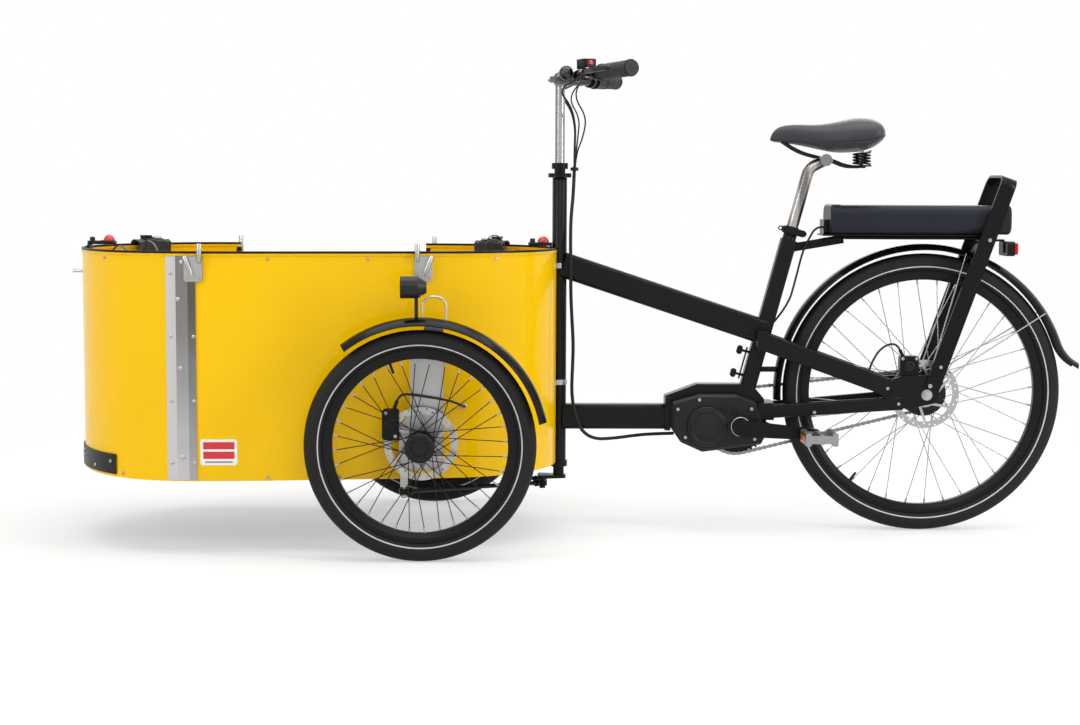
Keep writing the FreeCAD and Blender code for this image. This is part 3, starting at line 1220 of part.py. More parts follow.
def belt_lock(x0, x1, button_x, cap_x, leg_x0, leg_x1):
    """Plate over the rim with a bored well for the press button, a cap and a leg down inside the box."""
    half = LOCK_PLATE_WIDTH / 2
    top = LOCK_PLATE_Z + LOCK_PLATE_THICKNESS
    plate = fillet_along(block(x0, x1, -half, half, LOCK_PLATE_Z, top), Z_AXIS, 8)
    leg = block(leg_x0, leg_x1, -half, half, LOCK_PLATE_Z - 50, top)
    well = rod(V(button_x, 0, LOCK_PLATE_Z + 2), V(button_x, 0, FAR), BUTTON_STEM_RADIUS + 0.3)
    cap = rod(V(cap_x, 0, top), V(cap_x, 0, top + 9), 6)
    return fuse([plate, leg, cap]).cut(well)


def press_button(x):
    """Domed button on a stem that sinks into the lock plate by its travel."""
    top = LOCK_PLATE_Z + LOCK_PLATE_THICKNESS
    low = V(x, 0, top + BUTTON_TRAVEL + 0.4)
    stem = rod(V(x, 0, LOCK_PLATE_Z + 2 + BUTTON_TRAVEL + 0.4), low, BUTTON_STEM_RADIUS)
    rim = rod(low, low + Z_AXIS * 4, BUTTON_RADIUS)
    dome_height = 7.0
    sphere_radius = (BUTTON_RADIUS ** 2 + dome_height ** 2) / (2 * dome_height)
    ball = Part.makeSphere(sphere_radius, low + Z_AXIS * (4 + dome_height - sphere_radius))
    above = rod(low + Z_AXIS * 4, low + Z_AXIS * 20, BUTTON_RADIUS)
    return fuse([stem, rim, ball.common(above)])


FRONT_LOCK_X = BOX_NOSE_X + 55.0
REAR_LOCK_X = BOX_REAR_X - 31.0


def belts_and_locks():
    nose_x, back_x = BOX_NOSE_X, BOX_REAR_X
    front = belt_lock(nose_x + 6, nose_x + 70, FRONT_LOCK_X, nose_x + 16, nose_x + 6, nose_x + 13)
    rear = belt_lock(back_x - 66, back_x - 9, REAR_LOCK_X, back_x - 56, back_x - 16, back_x - 9)
    rim = BOX_TOP_Z
    rear = rear.cut(rod(COLUMN_FOOT, COLUMN_TOP, HEAD_TUBE_RADIUS))
    seat_z = FLOOR_TOP_Z + BENCH_HEIGHT + WEBBING_HALF
    straps = []
    for side in (-1, 1):
        y = side * STRAP_Y
        back = REAR_ARC_X + math.sqrt((BOX_REAR_RADIUS - SHEET) ** 2 - (abs(y) + WEBBING_WIDTH) ** 2)
        rear_path = [V(back - 190, y, seat_z), V(back - 30, y, seat_z), V(back - 14, y, rim - 42),
                     V(back - 40, y, rim + 28), V(back - 72, y, rim + 22), V(back - 84, y, rim - 22),
                     V(back - 88, y, rim - 102)]
        straps.append(cord("rear strap", rear_path, WEBBING_HALF, 14, WEBBING_WIDTH))
        nose = NOSE_ARC_X - math.sqrt((NOSE_RADIUS - SHEET) ** 2 - (abs(y) + WEBBING_WIDTH) ** 2)
        front_path = [V(nose + 180, y, seat_z), V(nose + 30, y, seat_z), V(nose + 14, y, rim - 62),
                      V(nose + 34, y, rim + 10), V(nose + 62, y, rim + 6), V(nose + 74, y, rim - 32),
                      V(nose + 78, y, rim - 102)]
        straps.append(cord("front strap", front_path, WEBBING_HALF, 14, WEBBING_WIDTH))
    save("belts", [front, rear] + straps)
    save("front_belt_button", [press_button(FRONT_LOCK_X)])
    save("rear_belt_button", [press_button(REAR_LOCK_X)])


def box():
    front, left, right = box_sheets()
    save("box_front_sheet", [front])
    save("box_left_sheet", [left])
    save("box_right_sheet", [right])
    save("box_trim", rim_trim() + [kick_plate()])
    save("seam_strips", seam_strips())
    save("box_boards", [floor_board()] + benches())
    save("box_brackets", box_brackets() + [nose_stud()])
    belts_and_locks()


# Steering

SHAFT_TOP_Z = HEAD_TUBE_TOP_Z + 34.0
SHAFT_FOOT_Z = HEAD_TUBE_FOOT_Z - 28.0
STEM_BORE_FOOT_Z = STEM_FOOT_Z - 50.0
COLUMN_STUD_FOOT_Z = SHAFT_FOOT_Z - 22.0
COLUMN_EYE_Z = SHAFT_FOOT_Z - 10.0
KNUCKLE_STUD_TOP_Z = FRONT_WHEEL_RADIUS - 98.0
KNUCKLE_EYE_Z = KNUCKLE_STUD_TOP_Z - 10.0
KNUCKLE_STUD_FOOT_Z = KNUCKLE_STUD_TOP_Z - 24.0
STUD_NUT_RADIUS = 7.0
STUD_NUT_HEIGHT = 5.0
COLLAR_RADIUS = 27.0
COLLAR_HEIGHT = 10.0


def steering_shaft():
    """Shaft through the head tube with a seal collar and a clamp ring above, and the steering arm below."""
    foot, top = V(COLUMN_X, 0, SHAFT_FOOT_Z), V(COLUMN_X, 0, SHAFT_TOP_Z)
    seal_low = COLUMN_TOP + Z_AXIS * STUD_CLEARANCE
    seal = rod(seal_low, seal_low + Z_AXIS * COLLAR_HEIGHT, COLLAR_RADIUS)
    ring = rod(top - Z_AXIS * 14, top, COLLAR_RADIUS - 8)
    front = COLUMN_X - ARM_FORWARD - 11
    plate = [V(COLUMN_X + 17, -13, SHAFT_FOOT_Z), V(COLUMN_X + 17, 13, SHAFT_FOOT_Z),
             V(front, ARM_OUTWARD + 11, SHAFT_FOOT_Z), V(front, -ARM_OUTWARD - 11, SHAFT_FOOT_Z)]
    arm = fillet_along(face_of(plate).extrude(Z_AXIS * COLUMN_ARM_THICKNESS), Z_AXIS, 9)
    shapes = [rod(foot, top, STEER_SHAFT_RADIUS), seal, ring, arm]
    for side in (-1, 1):
        head = V(COLUMN_X - ARM_FORWARD, side * ARM_OUTWARD, SHAFT_FOOT_Z)
        end = V(head.x, head.y, COLUMN_STUD_FOOT_Z)
        shapes.append(rod(end, head, BALL_STUD_RADIUS))
        shapes.append(rod(end, end + Z_AXIS * STUD_NUT_HEIGHT, STUD_NUT_RADIUS))
    bore = rod(V(COLUMN_X, 0, STEM_BORE_FOOT_Z), top, STEM_RADIUS + RUNNING)
    return fuse(shapes).cut(bore)


def tie_rod():
    """Left track rod: an eye on the column stud, an eye on the knuckle stud, lock nuts on the rod between."""
    half = Z_AXIS * (TIE_EYE_HEIGHT / 2)
    inner = V(COLUMN_X - ARM_FORWARD, -ARM_OUTWARD, COLUMN_EYE_Z)
    outer = V(FRONT_AXLE_X - ARM_FORWARD, -KINGPIN_Y - ARM_OUTWARD, KNUCKLE_EYE_Z)
    line = (outer - inner).normalize()
    shapes = [rod(inner - half, inner + half, TIE_EYE_RADIUS),
              rod(outer - half, outer + half, TIE_EYE_RADIUS),
              rod(inner, outer, TIE_ROD_RADIUS)]
    for end, sign in ((inner, 1), (outer, -1)):
        neck = end + line * (sign * 16)
        shapes.append(rod(neck, neck + line * (sign * 8), TIE_ROD_RADIUS + 3))
    body = fuse(shapes)
    body = body.cut(rod(inner - half * 2, inner + half * 2, BALL_STUD_RADIUS + RUNNING))
    return body.cut(rod(outer - half * 2, outer + half * 2, BALL_STUD_RADIUS + STUD_CLEARANCE))


# Front corners

UPRIGHT_INNER_Y = KINGPIN_Y + KINGPIN_HOUSING_RADIUS + 2.0
UPRIGHT_OUTER_Y = UPRIGHT_INNER_Y + UPRIGHT_THICKNESS
UPRIGHT_TOP_Z = FRONT_WHEEL_RADIUS + 258.0
STUB_SHOULDER_RADIUS = 14.0
ROTOR_Y = HALF_TRACK - FRONT_ROTOR_AT
CALIPER_SLOT = 2.0
GUARD_HALF_WIDTH = 30.0
GUARD_CROWN = 277.0
GUARD_EDGE = 262.0
GUARD_THICKNESS = 2.5
GUARD_START = 11.0
GUARD_SWEEP = 117.0
CARRIER_THICKNESS = 6.0


def knuckle():
    """Left knuckle: lugs above and below the housing, kingpin, upright, stub axle and steering arm."""
    x, z = FRONT_AXLE_X, FRONT_WHEEL_RADIUS
    inner, outer = -UPRIGHT_INNER_Y, -UPRIGHT_OUTER_Y
    half = KINGPIN_HOUSING_HEIGHT / 2
    pin_half = half + LUG_THICKNESS + 4
    pin_foot, pin_top = V(x, -KINGPIN_Y, z - pin_half), V(x, -KINGPIN_Y, z + pin_half)
    shapes = [rod(pin_foot, pin_top, KINGPIN_RADIUS)]
    for low in (z - half - LUG_THICKNESS, z + half):
        foot = V(x, -KINGPIN_Y, low)
        shapes.append(rod(foot, foot + Z_AXIS * LUG_THICKNESS, KINGPIN_HOUSING_RADIUS + 2))
        shapes.append(block(x - 20, x + 20, inner, -KINGPIN_Y, low, low + LUG_THICKNESS))
    outline = [(x - 48, z - 60), (x + 48, z - 60), (x + 48, UPRIGHT_TOP_Z), (x + 11, UPRIGHT_TOP_Z),
               (x - 24, UPRIGHT_TOP_Z - 60), (x - 24, z + 62), (x - 48, z + 36), (x - 70, z + 36),
               (x - 70, z + 12), (x - 48, z + 8)]
    shapes.append(side_prism(outline, outer, inner))
    hub_end = -HALF_TRACK - FRONT_HUB_OUTER_END + 10
    axle_foot = V(x, outer, z)
    shapes.append(rod(axle_foot, V(x, hub_end, z), STUB_AXLE_RADIUS))
    shapes.append(rod(axle_foot, V(x, 1 - HALF_TRACK + FRONT_HUB_INNER_END, z), STUB_SHOULDER_RADIUS))
    arm_y = -KINGPIN_Y - ARM_OUTWARD
    arm_x = x - ARM_FORWARD
    shapes.append(block(arm_x - 8, arm_x + 8, inner, arm_y + 6, KNUCKLE_STUD_TOP_Z, z + 30))
    stud_foot, stud_top = V(arm_x, arm_y, KNUCKLE_STUD_FOOT_Z), V(arm_x, arm_y, KNUCKLE_STUD_TOP_Z)
    shapes.append(rod(stud_foot, stud_top, BALL_STUD_RADIUS))
    shapes.append(rod(stud_foot, stud_foot + Z_AXIS * STUD_NUT_HEIGHT, STUD_NUT_RADIUS))
    return fuse(shapes)


def front_caliper():
    """Brake caliper on the upright's tab, open over the rotor's edge."""
    x, z = FRONT_AXLE_X, FRONT_WHEEL_RADIUS
    rotor_y = -ROTOR_Y
    body = block(x - 84, x - 47, rotor_y - 7.5, -UPRIGHT_OUTER_Y, z + 8, z + 76)
    body = fillet_along(body, Y_AXIS, 8)
    slot = rod(V(x, rotor_y - CALIPER_SLOT, z), V(x, rotor_y + CALIPER_SLOT, z), ROTOR_RADIUS + 3)
    body = body.cut(slot)
    port = rod(V(x - 60, rotor_y + 9, z + 70), V(x - 52, rotor_y + 9, z + 92), 4)
    return fuse([body, port])


def guard_face(half_width, crown, edge, thickness):
    """Curved section of a mudguard in the plane of the axle."""
    outer = Part.Arc(V(edge, -half_width, 0), V(crown, 0, 0), V(edge, half_width, 0)).toShape()
    inner = Part.Arc(V(edge - thickness, -half_width, 0), V(crown - thickness, 0, 0),
                     V(edge - thickness, half_width, 0)).toShape()
    sides = []
    for side in (-1, 1):
        rim, lip = V(edge, side * half_width, 0), V(edge - thickness, side * half_width, 0)
        sides.append(Part.LineSegment(rim, lip).toShape())
    return Part.Face(Part.Wire(Part.__sortEdges__([outer, inner] + sides)))


def front_mudguard():
    centre = LEFT_FRONT_CENTRE
    face = guard_face(GUARD_HALF_WIDTH, GUARD_CROWN, GUARD_EDGE, GUARD_THICKNESS)
    guard = face.revolve(V(0, 0, 0), V(0, -1, 0), GUARD_SWEEP)
    guard.rotate(V(0, 0, 0), V(0, -1, 0), GUARD_START)
    guard = moved(guard, centre)
    x, y = centre.x, centre.y
    arm = block(x + 11, x + 56, y - 15, -UPRIGHT_INNER_Y, UPRIGHT_TOP_Z, UPRIGHT_TOP_Z + CARRIER_THICKNESS)
    pad = block(x + 15, x + 52, y - 12, y + 12, UPRIGHT_TOP_Z + CARRIER_THICKNESS / 2, UPRIGHT_TOP_Z + 16)
    carrier = fuse([arm, pad]).cut(guard)
    return [guard.Solids[0], max(carrier.Solids, key=lambda solid: solid.Volume)]


LAMP_RADIUS = 24.0
LAMP_Z = FRONT_WHEEL_RADIUS + GUARD_CROWN + 64.0
LAMP_LENGTH = 56.0
LAMP_AHEAD = 42.0


def headlamp(guard):
    """Lamp over the left mudguard on a stalk, with a bent wire guard behind it."""
    x, y = FRONT_AXLE_X, -HALF_TRACK
    front = V(x - LAMP_AHEAD, y, LAMP_Z)
    barrel = rod(front, front + V(38, 0, 0), LAMP_RADIUS)
    cone = Part.makeCone(LAMP_RADIUS, LAMP_RADIUS / 2, LAMP_LENGTH - 38, front + V(38, 0, 0), X_AXIS)
    body = fuse([barrel, cone]).cut(rod(front, front + V(5, 0, 0), LAMP_RADIUS - 2.5))
    lens_ball = Part.makeSphere(60, front + V(58.5, 0, 0))
    lens = rod(front - V(3, 0, 0), front + V(5, 0, 0), LAMP_RADIUS - 2.5).common(lens_ball)
    stalk = coped(rod(V(x - 8, y, LAMP_Z - 80), V(x - 8, y, LAMP_Z - 10), 4), guard, fuse([barrel, cone]))
    foot_z = FRONT_WHEEL_RADIUS + GUARD_CROWN
    top_z = LAMP_Z - 20
    bends = [V(x + 5, y, foot_z - 8), V(x + 5, y, top_z), V(x + 56, y, top_z), V(x + 56, y, foot_z - 12)]
    wire = cord("lamp wire", bends, 2.5)
    return [body, lens, stalk, coped(wire, guard)]


# Handlebar

BAR_CENTRE = V(COLUMN_X, 0, BAR_Z)
LEFT_BEND = V(COLUMN_X, -BAR_STRAIGHT, BAR_Z)
LEFT_END = V(COLUMN_X + GRIP_END_BEHIND_COLUMN, -GRIP_END_Y, GRIP_END_Z)
GRIP_LINE = (LEFT_END - LEFT_BEND).normalize()
BAR_BEND_RADIUS = 60.0
STEM_CLAMP_RADIUS = 17.0
STEM_CLAMP_HALF = 22.0
SHIFTER_LENGTH = 46.0
SHIFTER_RADIUS = 18.5
SHIFTER_GROOVES = 18
CLAMP_FROM_END = 142.0
LEVER_PIVOT_AT = 27.0
LEVER_PIN_RADIUS = 2.5
FERRULE_AT = 16.5


def bar_frame(from_end):
    """Placement on the left grip: X along the bar outwards, Y forwards, Z its right-hand third."""
    spot = LEFT_END - GRIP_LINE * from_end
    ahead = V(GRIP_LINE.y, -GRIP_LINE.x, 0).normalize()
    third = GRIP_LINE.cross(ahead)
    matrix = FreeCAD.Matrix(
        GRIP_LINE.x, ahead.x, third.x, spot.x,
        GRIP_LINE.y, ahead.y, third.y, spot.y,
        GRIP_LINE.z, ahead.z, third.z, spot.z,
        0, 0, 0, 1)
    return FreeCAD.Placement(matrix)


def on_bar(shape, from_end):
    copy = shape.copy()
    copy.Placement = bar_frame(from_end).multiply(copy.Placement)
    return copy


def bar_stem():
    column = rod(V(COLUMN_X, 0, STEM_FOOT_Z), V(COLUMN_X, 0, BAR_Z), STEM_RADIUS)
    side = Y_AXIS * STEM_CLAMP_HALF
    clamp = rod(BAR_CENTRE - side, BAR_CENTRE + side, STEM_CLAMP_RADIUS)
    ear = block(COLUMN_X - STEM_CLAMP_RADIUS - 8, COLUMN_X - 8, -STEM_CLAMP_HALF + 4, STEM_CLAMP_HALF - 4,
                BAR_Z - 7, BAR_Z + 7)
    bore = rod(BAR_CENTRE - side, BAR_CENTRE + side, BAR_RADIUS)
    return fuse([column, clamp, fillet_along(ear, Y_AXIS, 4)]).cut(bore)


def handlebar():
    points = [LEFT_END, LEFT_BEND, V(LEFT_BEND.x, BAR_STRAIGHT, BAR_Z), V(LEFT_END.x, GRIP_END_Y, GRIP_END_Z)]
    return cord("handlebar", points, BAR_RADIUS, BAR_BEND_RADIUS)


def grip(length):
    """Left grip from its end plug inwards."""
    sleeve = pipe(V(-length, 0, 0), V(0, 0, 0), GRIP_RADIUS, BAR_RADIUS)
    plug = rod(V(0, 0, 0), V(3, 0, 0), GRIP_RADIUS)
    shapes = [sleeve, plug]
    for at in (-length, -7.0):
        shapes.append(pipe(V(at, 0, 0), V(at + 5, 0, 0), GRIP_RADIUS + 2, BAR_RADIUS))
    return on_bar(fuse(shapes), 0)


def twist_shifter():
    low, high = V(0, 0, 0), V(SHIFTER_LENGTH, 0, 0)
    sleeve = pipe(low, high, SHIFTER_RADIUS, BAR_RADIUS + RUNNING)
    for i in range(SHIFTER_GROOVES):
        angle = 2 * math.pi * i / SHIFTER_GROOVES
        spot = V(8, (SHIFTER_RADIUS + 0.6) * math.cos(angle), (SHIFTER_RADIUS + 0.6) * math.sin(angle))
        sleeve = sleeve.cut(rod(spot, spot + V(SHIFTER_LENGTH - 8, 0, 0), 1.9))
    return mirrored(on_bar(sleeve, GRIP_LENGTH))


def lever_clamp():
    """Clamp ring on the bar with a fork and a pin for the brake lever."""
    ring = pipe(V(-8, 0, 0), V(8, 0, 0), BAR_RADIUS + 4.5, BAR_RADIUS)
    root = block(-8, 8, 12, 18, -9, 9)
    shapes = [ring, root]
    for low in (-9, 5.5):
        shapes.append(block(-8, 8, 12, LEVER_PIVOT_AT + 6, low, low + 3.5))
    shapes.append(rod(V(0, LEVER_PIVOT_AT, -9), V(0, LEVER_PIVOT_AT, 9), LEVER_PIN_RADIUS))
    shapes.append(rod(V(-24, FERRULE_AT, 0), V(-8, FERRULE_AT, 0), 4.5))
    return on_bar(fuse(shapes), CLAMP_FROM_END)


def brake_lever():
    outline = [(-5, 25), (-4, 33), (16, 45), (60, 52), (112, 50), (119, 45), (111, 41), (60, 43.5), (22, 36),
               (6, 24)]
    blade = face_of([V(u, n, -4.5) for u, n in outline]).extrude(V(0, 0, 9))
    boss = rod(V(0, LEVER_PIVOT_AT, -5), V(0, LEVER_PIVOT_AT, 5), 6)
    ball = Part.makeSphere(6, V(115, 45.5, 0))
    bore = rod(V(0, LEVER_PIVOT_AT, -9), V(0, LEVER_PIVOT_AT, 9), LEVER_PIN_RADIUS + RUNNING)
    return on_bar(fuse([blade, boss, ball]).cut(bore), CLAMP_FROM_END)


def bar_controls():
    """Lever clamps, the assist switch with its display and the bell."""
    left = lever_clamp()
    switch_ring = pipe(V(-7, 0, 0), V(7, 0, 0), BAR_RADIUS + 3, BAR_RADIUS)
    pod = fillet_along(block(-19, 19, -16, 18, -34, -13), Z_AXIS, 7)
    pod = pod.cut(rod(V(-9, 0, 0), V(9, 0, 0), BAR_RADIUS))
    switch = on_bar(fuse([switch_ring, pod]), CLAMP_FROM_END + 46)
    bell_ring = pipe(V(-5, 0, 0), V(5, 0, 0), BAR_RADIUS + 3, BAR_RADIUS)
    post = rod(V(0, 13, 0), V(0, 24, 0), 4)
    dome = Part.makeSphere(17, V(0, 31, -6)).common(block(-21, 21, 22, 60, -30, 21))
    bell = on_bar(fuse([bell_ring, post, dome]), CLAMP_FROM_END + 84)
    return [left, mirrored(left), switch, bell]


def steering():
    save("steering_shaft", [steering_shaft()])
    rod_left = tie_rod()
    save("left_tie_rod", [rod_left])
    save("right_tie_rod", [mirrored(rod_left)])
    corner = [knuckle(), front_caliper()]
    save("left_knuckle", corner)
    save("right_knuckle", [mirrored(solid) for solid in corner])
    guard = front_mudguard()
    save("left_front_mudguard", guard)
    save("right_front_mudguard", [mirrored(solid) for solid in guard])
    save("headlamp", headlamp(guard[0]))
    save("stem", [bar_stem()])
    save("handlebar", [handlebar()])
    save("grips", [grip(GRIP_LENGTH), mirrored(grip(GRIP_LENGTH - SHIFTER_LENGTH - 1))])
    save("twist_shifter", [twist_shifter()])
    lever = brake_lever()
    save("left_brake_lever", [lever])
    save("right_brake_lever", [mirrored(lever)])
    save("bar_controls", bar_controls())


# Rear

REAR_GUARD_HALF_WIDTH = 29.0
REAR_GUARD_CROWN = 349.0
REAR_GUARD_EDGE = 337.0
REAR_GUARD_START = 20.0
REAR_GUARD_SWEEP = 163.0
FLARE_RADIUS = 90.0
FLARE_SWEEP = 42.0
GUARD_STAY_RADIUS = 1.6
HOOP_FOOT = V(REAR_AXLE_X + 12, 0, REAR_WHEEL_RADIUS + 18.5)
HOOP_LEAN = 19.5
HOOP_LENGTH = 514.0
HOOP_INNER_Y = DROPOUT_INNER + DROPOUT_THICKNESS
HOOP_THICKNESS = 6.0
HOOP_DEPTH = 36.0
HOOP_CORNER = 25.0
HOOP_LINE = V(math.sin(math.radians(HOOP_LEAN)), 0, math.cos(math.radians(HOOP_LEAN)))
RAIL_RADIUS = 4.0
RAIL_Y = 35.0
RACK_RISE = 363.5
RAIL_Z = REAR_WHEEL_RADIUS + RACK_RISE
RAIL_FRONT_X = REAR_AXLE_X - 190.0
CROSS_ROD_RADIUS = 6.0
TRAY_THICKNESS = 3.7
TRAY_HALF_WIDTH = 50.0
BATTERY_FRONT_X = REAR_AXLE_X - 228.0
BATTERY_LENGTH = 420.0
BATTERY_WIDTH = 124.0
BATTERY_HEIGHT = 69.0
BATTERY_CORNER = 22.0
BATTERY_CAP = 24.0
SOCKET_DEPTH = 12.0
SOCKET_HALF_WIDTH = 30.0
SOCKET_HEIGHT = 34.0
LOCK_AT_RADIUS = 309.0
LOCK_AT_DEGREES = 68.3
LOCK_INNER = 46.0
LOCK_OUTER = 64.0
LOCK_THICKNESS = 22.0
LOCK_OPEN = 120.0
LOCK_BARREL_AT = -58.0
SHACKLE_RADIUS = 5.0
SHACKLE_GAP = 0.35
SHACKLE_START = -20.0
SHACKLE_SWEEP = 132.0


def hoop_at(z):
    return HOOP_FOOT + HOOP_LINE * ((z - HOOP_FOOT.z) / HOOP_LINE.z)


def rear_guard():
    face = guard_face(REAR_GUARD_HALF_WIDTH, REAR_GUARD_CROWN, REAR_GUARD_EDGE, GUARD_THICKNESS)
    guard = face.revolve(V(0, 0, 0), V(0, -1, 0), REAR_GUARD_SWEEP)
    hinge = V(REAR_GUARD_CROWN + FLARE_RADIUS, 0, 0)
    flare = face.revolve(hinge, V(0, 1, 0), -FLARE_SWEEP)
    shape = fuse([guard, flare])
    shape.rotate(V(0, 0, 0), V(0, -1, 0), REAR_GUARD_START)
    return moved(shape, REAR_CENTRE).Solids[0]


def rear_mudguard():
    """Long guard with a flared tail, a tab to the seat tube and two thin stays a side."""
    guard = rear_guard()
    tab_z = REAR_WHEEL_RADIUS + 53.5
    tube = rect_bar(SEAT_FOOT, SEAT_TOP, SEAT_TUBE_SIZE, SEAT_TUBE_SIZE, SEAT_TUBE_CORNER)
    tab = block(seat_line_at(tab_z).x, REAR_AXLE_X - REAR_GUARD_EDGE, -8, 8, tab_z - 6, tab_z + 6)
    solids = [guard, coped(tab, tube, guard)]
    for side in (-1, 1):
        stay_y = side * (REAR_GUARD_HALF_WIDTH + GUARD_STAY_RADIUS)
        for degrees, foot_x in ((74, 2), (33.6, 20)):
            rim = wheel_point(REAR_CENTRE, REAR_GUARD_EDGE + 3, degrees, stay_y)
            foot = V(REAR_AXLE_X + foot_x, side * (DROPOUT_INNER - GUARD_STAY_RADIUS), REAR_WHEEL_RADIUS + 24)
            solids.append(rod(rim, foot, GUARD_STAY_RADIUS))
    return solids


def rear_rack():
    """Wide strap hoop on the dropouts, rails to a strut from the seat tube and the battery tray."""
    outer_y = HOOP_INNER_Y + HOOP_THICKNESS
    half = HOOP_DEPTH / 2
    outer = block(-half, half, -outer_y, outer_y, 0, HOOP_LENGTH)
    inner = block(-half, half, -HOOP_INNER_Y, HOOP_INNER_Y, -FAR, HOOP_LENGTH - HOOP_THICKNESS)
    top_edges = [edge for edge in outer.Edges if edge.BoundBox.ZMin > 1 and edge.BoundBox.XLength > 1]
    outer = outer.makeFillet(HOOP_CORNER, top_edges)
    top_edges = [edge for edge in inner.Edges if edge.BoundBox.ZMin > 1 and edge.BoundBox.XLength > 1]
    inner = inner.makeFillet(HOOP_CORNER - HOOP_THICKNESS, top_edges)
    hoop = outer.cut(inner)
    hoop.Placement = along(HOOP_FOOT, HOOP_FOOT + HOOP_LINE)
    cross = hoop_at(RAIL_Z - 6)
    bar = rod(cross - Y_AXIS * HOOP_INNER_Y, cross + Y_AXIS * HOOP_INNER_Y, CROSS_ROD_RADIUS)
    front = V(RAIL_FRONT_X, 0, RAIL_Z)
    front_bar = rod(front - Y_AXIS * RAIL_Y, front + Y_AXIS * RAIL_Y, RAIL_RADIUS)
    rails = [bar, front_bar]
    for side in (-1, 1):
        rail_start, rail_end = V(RAIL_FRONT_X, side * RAIL_Y, RAIL_Z), V(cross.x + 14, side * RAIL_Y, RAIL_Z)
        rails.append(rod(rail_start, rail_end, RAIL_RADIUS))
    carrier = fuse(rails)
    lid_top = SEAT_TOP + SEAT_LINE * SEAT_LID
    tube = rect_bar(SEAT_FOOT, lid_top, SEAT_TUBE_SIZE, SEAT_TUBE_SIZE, SEAT_TUBE_CORNER)
    strut = rect_bar(seat_line_at(RAIL_Z - 27), V(RAIL_FRONT_X, 0, RAIL_Z - 4), 20, 16, 4)
    tray_x, tray_z = BATTERY_FRONT_X - SOCKET_DEPTH - 4, RAIL_Z + RAIL_RADIUS
    tray = block(tray_x, cross.x + 20, -TRAY_HALF_WIDTH, TRAY_HALF_WIDTH, tray_z, tray_z + TRAY_THICKNESS)
    tray = fillet_along(tray, Z_AXIS, 10)
    socket_z = tray_z + TRAY_THICKNESS
    socket = block(BATTERY_FRONT_X - SOCKET_DEPTH, BATTERY_FRONT_X - STUD_CLEARANCE, -SOCKET_HALF_WIDTH,
                   SOCKET_HALF_WIDTH, socket_z, socket_z + SOCKET_HEIGHT)
    return [hoop, carrier, coped(strut, tube, carrier, tray), tray, fillet_along(socket, X_AXIS, 5)]


def battery():
    """Rounded pack with a ribbed cap at each end; the rear cap has a grip recess."""
    low = RAIL_Z + RAIL_RADIUS + TRAY_THICKNESS + STUD_CLEARANCE
    x0, x1 = BATTERY_FRONT_X, BATTERY_FRONT_X + BATTERY_LENGTH
    half = BATTERY_WIDTH / 2
    core = block(x0 + BATTERY_CAP, x1 - BATTERY_CAP, -half + 1.5, half - 1.5, low, low + BATTERY_HEIGHT - 1.5)
    core = fillet_along(core, X_AXIS, BATTERY_CORNER)
    solids = [core]
    for start in (x0, x1 - BATTERY_CAP):
        cap = block(start, start + BATTERY_CAP, -half, half, low, low + BATTERY_HEIGHT)
        cap = fillet_along(cap, X_AXIS, BATTERY_CORNER)
        far = start if start == x0 else start + BATTERY_CAP
        rims = []
        for edge in cap.Edges:
            if abs(edge.BoundBox.XMin - far) < 1e-6 and edge.BoundBox.XLength < 1e-6:
                rims.append(edge)
        solids.append(cap.makeFillet(7, rims))
    recess = fillet_along(block(x1 - 12, x1 + 9, -32, 32, low + 18, low + 46), X_AXIS, 9)
    solids[-1] = solids[-1].cut(recess)
    return solids


def tail_light():
    cross = hoop_at(RAIL_Z - 6)
    x = cross.x + 55
    housing = fillet_along(block(x, x + 18, -42, 42, RAIL_Z - 42, RAIL_Z - 8), X_AXIS, 9)
    lens = fillet_along(block(x + 18, x + 27, -39, 39, RAIL_Z - 39, RAIL_Z - 11), X_AXIS, 7)
    rims = [edge for edge in lens.Edges if edge.BoundBox.XMin > x + 26.9]
    lens = lens.makeFillet(4, rims)
    arm = block(cross.x, x, -12, 12, cross.z - 2.5, cross.z + 2.5)
    drop = block(x - 3, x, -12, 12, RAIL_Z - 35, cross.z + 2.5)
    bracket = fuse([arm, drop]).cut(rod(cross - Y_AXIS * 80, cross + Y_AXIS * 80, CROSS_ROD_RADIUS))
    return [housing, lens, bracket]


def lock_frame():
    """Placement of the ring lock: X away from the hub, Y across, Z along the wheel's turn."""
    angle = math.radians(LOCK_AT_DEGREES)
    out = V(math.cos(angle), 0, math.sin(angle))
    turn = out.cross(Y_AXIS)
    spot = REAR_CENTRE + out * LOCK_AT_RADIUS
    matrix = FreeCAD.Matrix(
        out.x, 0, turn.x, spot.x,
        out.y, 1, turn.y, spot.y,
        out.z, 0, turn.z, spot.z,
        0, 0, 0, 1)
    return FreeCAD.Placement(matrix)


def ring_arc(start, sweep, rod_radius):
    """Bent rod round the lock's ring; angles count from the side away from the hub."""
    middle = (LOCK_INNER + LOCK_OUTER) / 2
    arc = Part.Face(Part.Wire([Part.Circle(V(middle, 0, 0), Y_AXIS, rod_radius).toShape()]))
    arc = arc.revolve(V(0, 0, 0), Z_AXIS, sweep)
    arc.rotate(V(0, 0, 0), Z_AXIS, start)
    return arc


